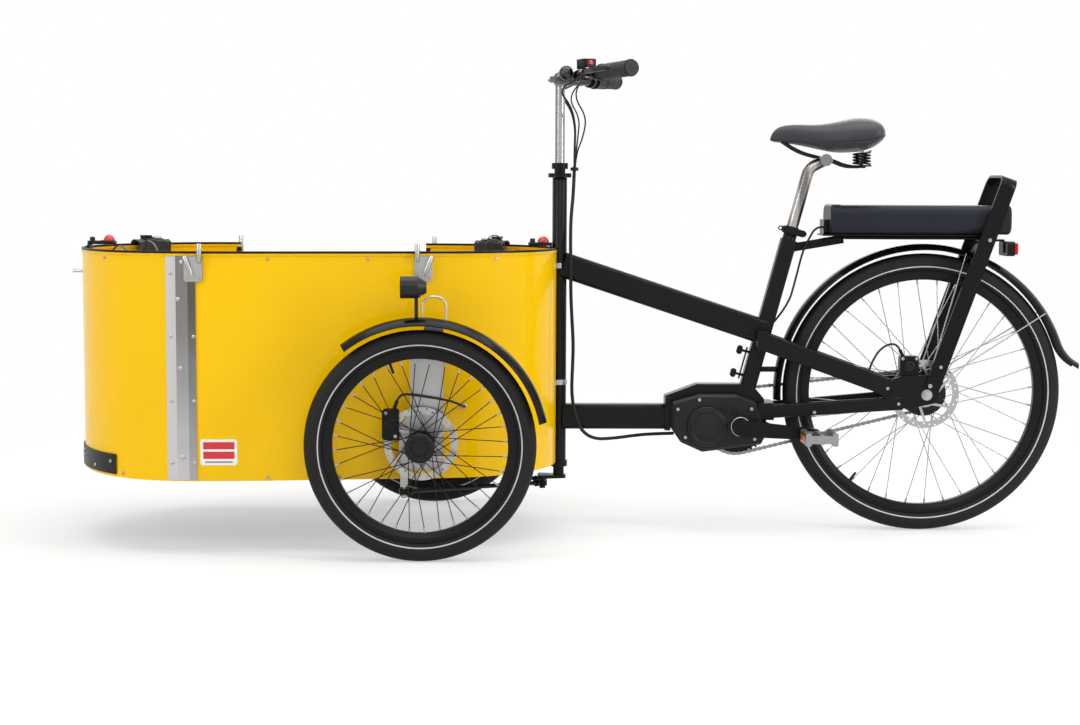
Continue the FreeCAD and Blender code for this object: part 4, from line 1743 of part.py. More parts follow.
def ring_lock():
    """Horseshoe body with a round channel for the shackle, a slot for its knob and two lugs to the hoop."""
    half = LOCK_THICKNESS / 2
    ring = pipe(V(0, 0, -half), V(0, 0, half), LOCK_OUTER, LOCK_INNER)
    reach = LOCK_OUTER * 3
    gap = math.radians(LOCK_OPEN / 2)
    wedge = face_of([V(0, 0, -half), V(-reach * math.cos(gap), reach * math.sin(gap), -half),
                     V(-reach * math.cos(gap), -reach * math.sin(gap), -half)])
    body = ring.cut(wedge.extrude(V(0, 0, LOCK_THICKNESS)))
    lugs = []
    for side in (-1, 1):
        y0, y1 = sorted((side * (LOCK_OUTER - 6), side * HOOP_INNER_Y))
        lugs.append(block(-9, 9, y0, y1, -half, half))
    angle = math.radians(LOCK_BARREL_AT)
    spot = V((LOCK_OUTER + 2) * math.cos(angle), (LOCK_OUTER + 2) * math.sin(angle), -half)
    barrel = rod(spot, spot + Z_AXIS * (LOCK_THICKNESS + 8), 11)
    barrel = barrel.cut(rod(V(0, 0, -half), V(0, 0, half + 9), LOCK_INNER + 4))
    body = fuse([body, barrel] + lugs)
    body = body.cut(ring_arc(0, 360, SHACKLE_RADIUS + SHACKLE_GAP))
    middle = (LOCK_INNER + LOCK_OUTER) / 2
    slot = pipe(V(0, 0, -half), V(0, 0, 0), middle + 2.6, middle - 2.6)
    sector = [V(0, 0, -half)]
    for i in range(9):
        angle = math.radians(SHACKLE_START - 4 + (LOCK_OPEN + 24) * i / 8)
        sector.append(V(reach * math.cos(angle), reach * math.sin(angle), -half))
    slot = slot.common(face_of(sector).extrude(V(0, 0, half)))
    body = body.cut(slot)
    body.Placement = lock_frame()
    return max(body.Solids, key=lambda solid: solid.Volume)


def lock_shackle():
    """Round shackle with the knob that pushes it round."""
    middle = (LOCK_INNER + LOCK_OUTER) / 2
    half = LOCK_THICKNESS / 2
    arc = ring_arc(SHACKLE_START, SHACKLE_SWEEP, SHACKLE_RADIUS)
    angle = math.radians(SHACKLE_START + 3)
    spot = V(middle * math.cos(angle), middle * math.sin(angle), 0)
    pin = rod(spot, spot - Z_AXIS * (half + 3), 2)
    knob = rod(spot - Z_AXIS * (half + 2), spot - Z_AXIS * (half + 10), 6)
    shape = fuse([arc, pin, knob])
    shape.Placement = lock_frame()
    return shape


def rear_caliper():
    """Caliper on the left dropout, open over the rotor's edge."""
    x, z = REAR_AXLE_X, REAR_WHEEL_RADIUS
    at = REAR_ROTOR_AT
    slot_half = CALIPER_SLOT + 0.6
    body = fillet_along(block(x - 62, x - 18, -DROPOUT_INNER, at + 9, z + 34, z + 90), Y_AXIS, 5)
    body = body.cut(block(x - 70, x, at + slot_half, 0, z, z + 52))
    body = body.cut(rod(V(x, at - slot_half, z), V(x, at + slot_half, z), ROTOR_RADIUS + 3))
    port = rod(V(x - 52, -DROPOUT_INNER + 6, z + 84), V(x - 62, -DROPOUT_INNER + 6, z + 104), 4)
    return max(fuse([body, port]).Solids, key=lambda solid: solid.Volume)


def rear():
    save("rear_mudguard", rear_mudguard())
    save("rear_rack", rear_rack())
    save("battery", battery())
    save("tail_light", tail_light())
    save("ring_lock", [ring_lock()])
    save("lock_shackle", [lock_shackle()])
    save("rear_caliper", [rear_caliper()])


# Seat

POST_BELOW_SLEEVE = 95.0
POST_BEND = seat_line_at(SLEEVE_TOP.z + 136.0)
POST_SETBACK = 36.7
POST_HEAD_RISE = 19.0
POST_HEAD = POST_BEND + V(POST_SETBACK, 0, POST_HEAD_RISE)
POST_BEND_RADIUS = 34.0
SADDLE_SECTIONS = [
    (-128, 65, 47, 13), (-102, 83, 43, 24), (-48, 84, 34, 34), (10, 88, 23, 60), (62, 99, 19, 94),
    (104, 96, 24, 100), (130, 77, 43, 72)]
SPRING_RADIUS = 11.0
SPRING_WIRE = 2.0
SPRING_TURNS = 4
SPRING_X = POST_HEAD.x + 86.0
SPRING_Y = 50.0
SPRING_LOW_Z = POST_HEAD.z - 9.0
SPRING_HEIGHT = 27.0
SADDLE_RAIL = 3.5


def seat_post():
    points = [SEAT_TOP - SEAT_LINE * POST_BELOW_SLEEVE, POST_BEND, POST_HEAD]
    return cord("seat post", points, SEAT_POST_RADIUS, POST_BEND_RADIUS)


def saddle_section(x, top, bottom, half):
    """Closed outline across the saddle: crowned top, sides drawn in to a narrower underside."""
    side_z = bottom + 0.42 * (top - bottom)
    left, right = V(x, -half, side_z), V(x, half, side_z)
    low_left, low_right = V(x, -half * 0.82, bottom), V(x, half * 0.82, bottom)
    crown = Part.Arc(left, V(x, 0, top), right).toShape()
    edges = [crown, Part.LineSegment(right, low_right).toShape(),
             Part.LineSegment(low_right, low_left).toShape(), Part.LineSegment(low_left, left).toShape()]
    return Part.Wire(edges)


def saddle():
    """Padded cover lofted through sections given from the post's head."""
    wires = []
    for x, top, bottom, half in SADDLE_SECTIONS:
        wires.append(saddle_section(POST_HEAD.x + x, POST_HEAD.z + top, POST_HEAD.z + bottom, half))
    return Part.makeLoft(wires, True, False)


def coil(centre, low):
    """Unbroken coil of tangent arcs, four to a turn."""
    pitch = SPRING_HEIGHT / SPRING_TURNS
    mid = SPRING_RADIUS

    def spot(quarter):
        angle = math.pi / 2 * quarter
        height = low + pitch * quarter / 4
        return V(centre.x + mid * math.cos(angle), centre.y + mid * math.sin(angle), height)

    edges = []
    for quarter in range(4 * SPRING_TURNS):
        edges.append(Part.Arc(spot(quarter), spot(quarter + 0.5), spot(quarter + 1)).toShape())
    path = Part.Wire(edges)
    start = spot(0)
    circle = Part.Wire([Part.Circle(start, spot(0.02) - start, SPRING_WIRE).toShape()])
    wire = path.makePipeShell([circle], True, False)
    share = wire.Volume / (math.pi * SPRING_WIRE ** 2 * path.Length)
    gap = pitch - 2 * SPRING_WIRE
    print(f"saddle spring: gap {gap:.2f} mm, volume over section times length {share:.4f}")
    return wire.Solids[0]


def saddle_frame(seat):
    """Clamp head on the post, rails to the nose and to the two springs under the saddle's back."""
    head = rod(POST_HEAD - Y_AXIS * 26, POST_HEAD + Y_AXIS * 26, 14)
    post = seat_post()
    solids = [head.cut(post)]
    for side in (-1, 1):
        nose = cord("saddle rail", [POST_HEAD + V(-8, side * 21, 4), POST_HEAD + V(-60, side * 19, 17),
                                    POST_HEAD + V(-108, side * 9, 47)], SADDLE_RAIL)
        cup_low = V(SPRING_X, side * SPRING_Y, SPRING_LOW_Z - 6)
        back = cord("spring rail", [POST_HEAD + V(8, side * 21, 2), V(SPRING_X - 36, side * 30, cup_low.z),
                                    cup_low], SADDLE_RAIL)
        cup = rod(cup_low, cup_low + Z_AXIS * 4, 14)
        lid_low = V(SPRING_X, side * SPRING_Y, SPRING_LOW_Z + SPRING_HEIGHT + 2)
        lid = rod(lid_low, lid_low + Z_AXIS * 12, 14).cut(seat)
        solids.append(coped(nose, head, seat))
        solids.append(fuse([coped(back, head), cup]))
        solids.append(max(lid.Solids, key=lambda solid: solid.Volume))
        solids.append(coil(V(SPRING_X, side * SPRING_Y, 0), SPRING_LOW_Z))
    return solids


def seat():
    cover = saddle()
    save("seat_post", [seat_post()])
    save("saddle", [cover])
    save("saddle_frame", saddle_frame(cover))


# Cables

CABLE = 2.5
LOOM = 4.0
LEAD_Y = 14.0
FRONT_PORT_Y = 9.0 - ROTOR_Y
HOSE_WALL_AT = 73.0
HOSE_END_LENGTH = 14.0
HOSE_END_RADIUS = 5.0


def upper_cables():
    """Brake, gear and switch cables from the bar to the loom behind the column."""
    loom = V(COLUMN_X + 34, 0, HEAD_TUBE_TOP_Z + 26)
    runs = []
    for side, spread in ((-1, -5), (1, 5)):
        start = bar_frame(CLAMP_FROM_END).multVec(V(-24.8, FERRULE_AT, 0))
        next_spot = bar_frame(CLAMP_FROM_END).multVec(V(-54, FERRULE_AT + 2, 8))
        start.y, next_spot.y = -side * start.y, -side * next_spot.y
        points = [start, next_spot, V(COLUMN_X - 6, side * 62, BAR_Z - 26),
                  V(COLUMN_X + 26, side * 30, BAR_Z - 64), V(COLUMN_X + 36, spread, BAR_Z - 112),
                  V(loom.x, spread, BAR_Z - 156), V(loom.x, spread, loom.z)]
        runs.append(cord("bar cable", points, CABLE))
    return runs


def column_loom():
    """Loom down the back of the column and under the lower tube to the motor."""
    x, top, low = COLUMN_X + HEAD_TUBE_RADIUS, HEAD_TUBE_TOP_Z, AXLE_BEAM_Z
    points = [V(x + 17, 0, top + 20), V(x + 15, -4, top - 36), V(x + 9, -14, top - 91),
              V(x + 8, -22, top - 146), V(x + 9, -27, top - 206), V(x + 9, -27, top - 266),
              V(x + 12, -26, top - 326), V(x + 16, -24, low + 171), V(x + 14, -24, low + 111),
              V(x + 12, -26, low + 56), V(x + 20, -29, low + 6), V(x + 36, -29, low - 33),
              V(x + 66, -18, low - 53), V(x + 110, -4, low - 53), V(x + 155, 6, low - 48),
              V(x + 200, 12, low - 44), V(CRANK_X - MOTOR_FRONT + 16, 14, low - 43)]
    motor = side_prism(motor_outline(), -MOTOR_LEFT, MOTOR_RIGHT)
    return coped(cord("frame loom", points, LOOM), motor)


def front_hose():
    """Left brake hose from the caliper's port, behind the wheel, to a screwed end on the back of the box."""
    x, z = FRONT_AXLE_X, FRONT_WHEEL_RADIUS
    port_y = FRONT_PORT_Y
    wall = V(HOSE_WALL_AT, -math.sqrt(BOX_REAR_RADIUS ** 2 - HOSE_WALL_AT ** 2), 0)
    outward = wall * (1 / BOX_REAR_RADIUS)
    foot = V(REAR_ARC_X, 0, z + 72) + wall
    end = foot + outward * HOSE_END_LENGTH
    joint = rod(foot - outward * 5, end, HOSE_END_RADIUS).cut(box_slab(0, 0, FAR))
    points = [V(x - 52, port_y, z + 92), V(x - 46.4, port_y, z + 107.4), V(x - 18, port_y, z + 106),
              V(x + 58, port_y + 2, z + 94), V(x + 80, port_y + 18, z + 84), end + outward * 16, end]
    return [cord("front hose", points, CABLE), joint]


def rear_hose():
    """Brake hose from the rear caliper's port over to the top of the left seat stay."""
    x, y, z = REAR_AXLE_X, -DROPOUT_INNER + 6, REAR_WHEEL_RADIUS
    points = [V(x - 62, y, z + 104), V(x - 70, y, z + 120), V(x - 100, y - 3, z + 114),
              V(x - 124, y - 5, z + 86), V(x - 138, y - 6, z + 40)]
    return coped(cord("rear hose", points, CABLE), seat_stay_bar(-1))


def battery_lead():
    """Lead from the battery's socket past the strut and down to the back of the seat tube."""
    start = V(BATTERY_FRONT_X - SOCKET_DEPTH, -LEAD_Y, RAIL_Z + 24)
    tube = rect_bar(SEAT_FOOT, SEAT_TOP, SEAT_TUBE_SIZE, SEAT_TUBE_SIZE, SEAT_TUBE_CORNER)
    points = [start, start + V(-16, 0, 0), V(start.x - 32, -LEAD_Y, RAIL_Z - 4)]
    for drop, behind in ((34, 38), (100, 40), (160, 40), (205, 10)):
        spot = seat_line_at(RAIL_Z - drop)
        points.append(V(spot.x + behind, -LEAD_Y, spot.z))
    return coped(cord("battery lead", points, CABLE), tube)


def lower_cables():
    hose = front_hose()
    return [column_loom(), rear_hose(), battery_lead()] + hose + [mirrored(solid) for solid in hose]


def cables():
    save("bar_cables", upper_cables())
    save("frame_cables", lower_cables())


wheels()
drive()
frame()
box()
steering()
rear()
seat()
cables()
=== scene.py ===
import math

import bmesh
import bpy
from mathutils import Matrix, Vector


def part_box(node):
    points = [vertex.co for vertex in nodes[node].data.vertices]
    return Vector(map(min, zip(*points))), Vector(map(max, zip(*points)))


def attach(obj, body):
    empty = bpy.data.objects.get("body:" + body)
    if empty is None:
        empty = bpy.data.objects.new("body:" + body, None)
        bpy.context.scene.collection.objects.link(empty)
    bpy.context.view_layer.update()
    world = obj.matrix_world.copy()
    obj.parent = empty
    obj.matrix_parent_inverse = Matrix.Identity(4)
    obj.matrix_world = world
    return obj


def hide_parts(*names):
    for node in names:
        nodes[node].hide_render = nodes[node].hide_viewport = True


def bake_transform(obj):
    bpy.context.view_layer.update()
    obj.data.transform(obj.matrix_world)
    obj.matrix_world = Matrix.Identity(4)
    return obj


# Looks of the cargo tricycle. Metres, in the frame of the model: +Z up, front towards -X, rider's left -Y.

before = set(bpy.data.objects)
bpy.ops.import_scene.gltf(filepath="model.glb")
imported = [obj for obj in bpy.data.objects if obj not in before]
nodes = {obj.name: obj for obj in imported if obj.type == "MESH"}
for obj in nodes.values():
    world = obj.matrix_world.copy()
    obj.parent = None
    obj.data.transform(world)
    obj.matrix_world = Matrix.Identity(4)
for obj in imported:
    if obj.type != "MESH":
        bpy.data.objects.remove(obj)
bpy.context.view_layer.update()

ALONG = Vector((1.0, 0.0, 0.0))
ACROSS = Vector((0.0, 1.0, 0.0))
UP = Vector((0.0, 0.0, 1.0))
SIDES = (("left", -1.0), ("right", 1.0))

# Wheels, column and drive; an axle's height is its tyre's radius
REAR_AXLE_X = 0.812
FRONT_AXLE_X = REAR_AXLE_X - 1.161
COLUMN_X = REAR_AXLE_X - 0.853
REAR_AXLE_Z = 0.3265
FRONT_AXLE_Z = 0.250
HALF_TRACK = 0.410
FRONT_STRIPE_RADIUS = 0.2186
REAR_STRIPE_RADIUS = 0.296
CRANK_X = 0.38151
CRANK_Z = 0.250
HEAD_TOP_Z = 0.826
BEAM_Z = 0.2685
LOOM_X = COLUMN_X + 0.034

# Heights of the box, and its side wall in plan from nose to back
BOX_TOP_Z = 0.662
FLOOR_Z = 0.166
FLOOR_THICKNESS = 0.012
BENCH_HEIGHT = 0.190
SHEET = 0.003
HALF_BOX = 0.336
NOSE_X = -1.143
NOSE_RADIUS = 0.372
SHOULDER_RADIUS = 0.249
SHOULDER_X = -0.85790
BEND_X = -0.83590
BEND_RADIUS = 1.4946
BACK_X = -0.333
BACK_RADIUS = 0.285
TAPER = 0.11761

# Seam strip, side label and belts
SEAM_X = NOSE_X + 0.274
FLANGE_END_X = -0.8808
COVER_FOLD_X = -0.854
LABEL_LOW_X, LABEL_HIGH_X = REAR_AXLE_X - 1.643, REAR_AXLE_X - 1.563
LABEL_LOW_Z, LABEL_HIGH_Z = 0.197, 0.254
STRAP_Y = 0.180
STRAP_WIDTH = 0.025
STRAP_THICKNESS = 0.002
LOCK_WIDTH = 0.036

# Left grip: the middle of its outer end, and the bar's direction towards it
GRIP_END = Vector((0.105, -0.312, 1.063))
GRIP_LINE = Vector((0.47946, -0.87682, 0.03612))
GRIP_GROOVES = (0.024, 0.044, 0.064, 0.084, 0.104)

# Places that tell two finishes of one solid apart
NUT_REACH = 0.0135
NUT_FOOT_Y = 0.0706
NIPPLE_RADIUS = 0.1780
GUARD_EDGE_Y = 0.0294
TAIL_LENS_X = REAR_AXLE_X + 0.205
BELL_FROM_END = 0.208
LAMP_Z = 0.591
LAMP_LENS_X = FRONT_AXLE_X - 0.0368
LAMP_LENS_RADIUS = 0.02145
LAMP_WIRE_X = FRONT_AXLE_X + 0.0010
LAMP_WIRE_TOP_Z = 0.576

CABLE_RADIUS = 0.0025
WIRE_RADIUS = 0.0018
LOOM_RADIUS = 0.004
SMOOTH_BELOW = math.radians(38)
BEVEL_ABOVE = math.radians(42)


# Shaders

class Field:
    """A value that varies over a surface; arithmetic on it adds nodes to its tree."""

    def __init__(self, tree, socket):
        self.tree = tree
        self.socket = socket

    def math(self, operation, *others):
        return self.tree.node("ShaderNodeMath", {"operation": operation}, self, *others)

    def __add__(self, other):
        return self.math("ADD", other)

    __radd__ = __add__

    def __sub__(self, other):
        return self.math("SUBTRACT", other)

    def __rsub__(self, other):
        return self.tree.node("ShaderNodeMath", {"operation": "SUBTRACT"}, other, self)

    def __mul__(self, other):
        return self.math("MULTIPLY", other)

    __rmul__ = __mul__

    def __abs__(self):
        return self.math("ABSOLUTE")

    def __gt__(self, other):
        return self.math("GREATER_THAN", other)

    def __lt__(self, other):
        return self.math("LESS_THAN", other)

    def between(self, low, high):
        return (self > low) * (self < high)

    def ramp(self, low, high):
        """0 at low, 1 at high, smooth between."""
        settings = {"interpolation_type": "SMOOTHSTEP"}
        return self.tree.node("ShaderNodeMapRange", settings, self, low, high, 0.0, 1.0)

    def line(self, at, half_width, blur):
        """1 in a narrow band round a value, with soft edges."""
        return 1.0 - abs(self - at).ramp(half_width - blur, half_width + blur)


def distance(run, rise):
    """Straight distance over two offsets at right angles."""
    return (run * run + rise * rise).math("SQRT")


class Tree:
    """A tree of shader nodes and the one way in which nodes are added to it."""

    def __init__(self, tree):
        self.tree = tree

    def feed(self, socket, value):
        """Links a field to a socket or sets the socket's own value, opaque for a colour; None leaves it."""
        if isinstance(value, Field):
            self.tree.links.new(value.socket, socket)
        elif value is not None:
            socket.default_value = (*value, 1.0) if socket.type == "RGBA" else value

    def node(self, kind, settings, *values, output=0, **named):
        """Adds a node: its settings first, then its sockets in order or by name."""
        made = self.tree.nodes.new(kind)
        for label, value in settings.items():
            setattr(made, label, value)
        for label, value in [*enumerate(values), *named.items()]:
            self.feed(made.inputs[label], value)
        return Field(self, made.outputs[output])

    def mix(self, factor, first, second):
        """Colours first to second by a factor."""
        unused = [None] * 5
        return self.node("ShaderNodeMix", {"data_type": "RGBA"}, factor, *unused, first, second, output=2)

    def shown(self):
        """1 where the studio is seen, straight or mirrored, and 0 where it only lights."""
        seen = self.node("ShaderNodeLightPath", {}, output="Is Camera Ray")
        for label in ("Is Glossy Ray", "Is Transmission Ray"):
            seen = seen.math("MAXIMUM", self.node("ShaderNodeLightPath", {}, output=label))
        return seen


class Paint(Tree):
    """A material with one principled shader and helpers for the fields that feed it."""

    def __init__(self, name, shine=0.5, **uniform):
        self.name = name
        self.material = bpy.data.materials.new(name)
        self.material.use_nodes = True
        super().__init__(self.material.node_tree)
        self.shader = self.tree.nodes["Principled BSDF"]
        # Position in the model's frame, which goes with the piece when it moves
        self.place = self.node("ShaderNodeTexCoord", {}, output="Object")
        self.set(specular_ior_level=shine, **uniform)

    def set(self, **values):
        for name, value in values.items():
            label = name.replace("_", " ").title().replace("Ior", "IOR")
            self.feed(self.shader.inputs[label], value)
        return self

    def axes(self):
        split = self.node("ShaderNodeSeparateXYZ", {}, self.place)
        return [Field(self, socket) for socket in split.socket.node.outputs]

    def noise(self, scale, detail=3.0, rough=0.55, stretch=None):
        where = self.place
        if stretch:
            where = self.node("ShaderNodeVectorMath", {"operation": "MULTIPLY"}, where, stretch)
        return self.node("ShaderNodeTexNoise", {}, where, Scale=scale, Detail=detail, Roughness=rough)

    def bump(self, height, distance, strength):
        made = self.node("ShaderNodeBump", {}, Strength=strength, Distance=distance, Height=height)
        return self.set(normal=made)


# Finishes

# Colour, roughness and metal of the finishes that share a solid
YELLOW = (0.86, 0.50, 0.0)
BRIGHT = ((0.42, 0.41, 0.40), 0.30, 1.0)
DARK = ((0.006, 0.006, 0.006), 0.33, 0.0)
FRAME_PAINT = ((0.0055, 0.0053, 0.0053), 0.26, 0.0)
NUT_STEEL = ((0.5, 0.49, 0.48), 0.24, 1.0)
LIP_YELLOW = (YELLOW, 0.24, 0.0)
BELL_STEEL = ((0.06, 0.058, 0.056), 0.2, 1.0)
CLAMP_STEEL = ((0.27, 0.26, 0.25), 0.24, 1.0)
GUARD_PAINT = ((0.004, 0.004, 0.0045), 0.16, 0.0)
TAIL_RED = ((0.5, 0.008, 0.008), 0.12, 0.0)


def gloss_yellow():
    """Coated yellow sheet with a faint orange-peel and soft variation."""
    paint = Paint("box_yellow", 0.05, coat_weight=0.26, coat_roughness=0.03)
    cloud = paint.noise(2.2, 2.0)
    paint.set(base_color=paint.mix(cloud, YELLOW, (0.90, 0.54, 0.0)),
              roughness=0.22 + paint.noise(7.0) * 0.08)
    return paint.bump(paint.noise(260.0, 1.0), 0.00004, 0.35)


def clouded(name, scale, low, high, rough, spread, shine):
    """A soft cloud in tone and roughness."""
    paint = Paint(name, shine)
    cloud = paint.noise(scale)
    return paint.set(base_color=paint.mix(cloud, low, high), roughness=rough + cloud * spread)


def satin_black(name, tone=0.004, rough=0.28, grain=900.0, shine=0.13):
    """Powder coat or moulded plastic: dark, slightly grained and clouded."""
    low = (tone, tone * 0.97, tone * 0.97)
    high = (tone * 1.7, tone * 1.65, tone * 1.65)
    paint = clouded(name, 6.0, low, high, rough - 0.05, 0.12, shine)
    return paint.bump(paint.noise(grain, 2.0), 0.00006, 0.4)


def bright_metal(name, tone, rough, scale, brushed=None):
    """Plated or cast metal, mottled or brushed along one direction."""
    paint = Paint(name, metallic=1.0)
    streak = paint.noise(scale, 4.0, 0.6, brushed)
    low = (tone * 0.86, tone * 0.85, tone * 0.85)
    high = (tone, tone, tone * 1.01)
    paint.set(base_color=paint.mix(streak, low, high), roughness=rough - 0.05 + streak * 0.14)
    return paint.bump(streak, 0.00003, 0.25)


def polished_tube():
    """Polished steel of stem, seat post and lock bar, with soft dark bands painted along the tube as
    reflections.
    """
    paint = Paint("polished_tube", metallic=1.0)
    x, y, z = paint.axes()
    # Painted reflection: soft dark bands, set by place on the tube, stand in for dark things mirrored in the
    # polished steel.
    painted_reflection_band = (x * 150.0 + paint.noise(3.0) * 2.0).math("SINE").ramp(-0.6, 0.9)
    return paint.set(base_color=paint.mix(painted_reflection_band, (0.19, 0.175, 0.17), (0.42, 0.40, 0.39)),
                     roughness=0.26 + paint.noise(8.0) * 0.06)


def strip_steel():
    """Seam strips: a satin flange ahead, and a polished cover in two panels that meet at a faint fold, with a
    painted reflection: the cover lighter towards the bottom and its rear panel darker.
    """
    paint = Paint("strip_steel", metallic=1.0)
    x, y, z = paint.axes()
    streak = paint.noise(300.0, 4.0, 0.6, (1.0, 1.0, 0.05))
    cover = x > FLANGE_END_X
    panel = x.between(COVER_FOLD_X - 0.0006, COVER_FOLD_X + 0.05)
    # Painted reflection: the cover gets lighter towards the bottom, as if mirroring the pale floor, and the
    # rear panel is painted darker than the front.
    painted_floor_reflection = (z + paint.noise(9.0) * 0.16).ramp(0.70, 0.16)
    front = paint.mix(painted_floor_reflection, (0.20, 0.19, 0.18), (0.56, 0.55, 0.55))
    rear = paint.mix(painted_floor_reflection, (0.08, 0.075, 0.07), (0.40, 0.39, 0.39))
    tone = paint.mix(cover, (0.56, 0.545, 0.54), paint.mix(panel, front, rear))
    paint.set(base_color=paint.mix(streak * 0.16, tone, (0.50, 0.49, 0.49)),
              roughness=0.34 - cover * 0.24 + streak * 0.06)
    return paint.bump(streak, 0.00002, 0.2)


def soft_rubber(name, tone, rough):
    low = (tone, tone, tone)
    high = (tone * 1.6, tone * 1.6, tone * 1.65)
    paint = clouded(name, 14.0, low, high, rough, 0.12, 0.2)
    return paint.bump(paint.noise(700.0, 2.0), 0.00008, 0.5)


def tyre_rubber(name, centre, stripe):
    """Rubber with tread blocks, ribbed walls and a pale reflective line on both walls."""
    paint = Paint(name, 0.2)
    x, y, z = [field - middle for field, middle in zip(paint.axes(), centre)]
    radius = distance(x, z)
    angle = z.math("ARCTAN2", x)
    side = abs(y)
    outer = centre[2]
    line = radius.line(stripe, 0.0013, 0.0003) * (side > 0.015)
    cloud = paint.noise(9.0)
    dark = paint.mix(cloud, (0.008, 0.0072, 0.007), (0.016, 0.014, 0.0135))
    pale = paint.mix(paint.noise(220.0), (0.46, 0.47, 0.47), (0.60, 0.61, 0.61))
    blocks = (angle * 120.0 + side * 130.0).math("SINE").ramp(-0.2, 0.35)
    grooves = side.line(0.0, 0.0011, 0.0005) + side.line(0.009, 0.0011, 0.0005)
    crown = radius.ramp(outer - 0.013, outer - 0.006)
    ribs = (radius * 2600.0).math("SINE") * 0.10 * (1.0 - crown)
    height = crown * (blocks - grooves * 0.8) + ribs + line * 0.15
    paint.set(base_color=paint.mix(line, dark, pale), roughness=0.62 - line * 0.25 + cloud * 0.1)
    return paint.bump(height, 0.0011, 0.8)


def bench_board():
    """Wood-faced board of floor and benches, black on the underside."""
    paint = Paint("board", 0.4)
    grain = paint.noise(30.0, 6.0, 0.6, (0.3, 4.0, 4.0))
    faced = paint.mix(grain, (0.36, 0.20, 0.08), (0.62, 0.42, 0.20))
    below = paint.axes()[2] < FLOOR_Z + 0.001
    paint.set(base_color=paint.mix(below, faced, (0.020, 0.020, 0.022)), roughness=0.42 + grain * 0.2)
    return paint.bump(grain, 0.0003, 0.3)


def button_red():
    paint = Paint("button_red", 0.5, coat_weight=0.4)
    tone = paint.mix(paint.noise(40.0), (0.55, 0.012, 0.01), (0.66, 0.02, 0.015))
    return paint.set(base_color=tone, roughness=0.24 + paint.noise(90.0) * 0.1)


def battery_case():
    paint = clouded("battery_case", 5.0, (0.012, 0.013, 0.018), (0.018, 0.020, 0.028), 0.33, 0.1, 0.14)
    return paint.bump(paint.noise(1500.0, 2.0), 0.00006, 0.5)


def webbing():
    """Woven belt, its threads crossing at right angles."""
    paint = Paint("webbing", 0.3, sheen_weight=0.3)
    x, y, z = paint.axes()
    threads = (x * 3000.0 + z * 3000.0).math("SINE") * (y * 3000.0).math("SINE")
    tone = paint.mix(threads.ramp(-1.0, 1.0), (0.010, 0.010, 0.012), (0.035, 0.035, 0.040))
    paint.set(base_color=tone, roughness=0.7 + threads * 0.1)
    return paint.bump(threads, 0.0002, 0.7)


def saddle_leather():
    """Grey pebbled cover of the saddle."""
    paint = clouded("saddle_leather", 12.0, (0.020, 0.018, 0.024), (0.034, 0.031, 0.040), 0.36, 0.14, 0.35)
    paint.set(sheen_weight=0.2, sheen_roughness=0.4)
    pebble = paint.node("ShaderNodeTexVoronoi", {}, paint.place, Scale=700.0)
    return paint.bump(pebble + paint.noise(1600.0) * 0.4, 0.0003, 0.5)


def headlamp_finish():
    """Black shell, faceted round lens in front and the bright wire bracket behind."""
    paint = Paint("headlamp", 0.3)
    x, y, z = paint.axes()
    off, rise = y + HALF_TRACK, z - LAMP_Z
    lens = (x < LAMP_LENS_X) * (distance(off, rise) < LAMP_LENS_RADIUS)
    wire = (x > LAMP_WIRE_X) * (z < LAMP_WIRE_TOP_Z)
    facets = (off * 1400.0).math("SINE") * (rise * 1400.0).math("SINE")
    shell = paint.mix(paint.noise(40.0), (0.005, 0.005, 0.006), (0.010, 0.010, 0.011))
    clear = paint.mix(facets.ramp(-1.0, 1.0), (0.55, 0.57, 0.60), (0.85, 0.87, 0.90))
    paint.set(base_color=paint.mix(wire, paint.mix(lens, shell, clear), (0.46, 0.45, 0.44)), metallic=wire,
              roughness=0.34 - lens * 0.26 + paint.noise(60.0) * 0.06)
    return paint.bump(facets * lens, 0.0005, 0.5)


def amber_reflector():
    """Amber plastic over a field of small prisms."""
    paint = Paint("amber_reflector", 0.6, coat_weight=0.6, coat_roughness=0.05)
    x, y, z = paint.axes()
    prism = (y * 2400.0).math("SINE") * (z * 2400.0).math("SINE")
    tone = paint.mix(prism.ramp(-1.0, 1.0), (0.55, 0.12, 0.004), (0.85, 0.26, 0.012))
    paint.set(base_color=tone, roughness=0.16 + paint.noise(80.0) * 0.08)
    return paint.bump(prism, 0.0004, 0.6)


def label_film():
    """White film with two plain red bars and a grey line."""
    paint = Paint("label_film", 0.5, coat_weight=0.3)
    x, y, z = paint.axes()
    upper = z.between(LABEL_HIGH_Z - 0.022, LABEL_HIGH_Z - 0.006)
    lower = z.between(LABEL_HIGH_Z - 0.043, LABEL_HIGH_Z - 0.027)
    bars = x.between(LABEL_LOW_X + 0.006, LABEL_HIGH_X - 0.006) * (upper + lower)
    foot = z.between(LABEL_LOW_Z + 0.005, LABEL_LOW_Z + 0.009)
    line = x.between(LABEL_LOW_X + 0.010, LABEL_HIGH_X - 0.010) * foot
    film = paint.mix(paint.noise(40.0), (0.80, 0.80, 0.79), (0.86, 0.86, 0.85))
    ink = paint.mix(paint.noise(300.0), (0.56, 0.010, 0.018), (0.64, 0.016, 0.024))
    printed = paint.mix(line, paint.mix(bars, film, ink), (0.28, 0.28, 0.28))
    return paint.set(base_color=printed, roughness=0.3 + paint.noise(120.0) * 0.1)


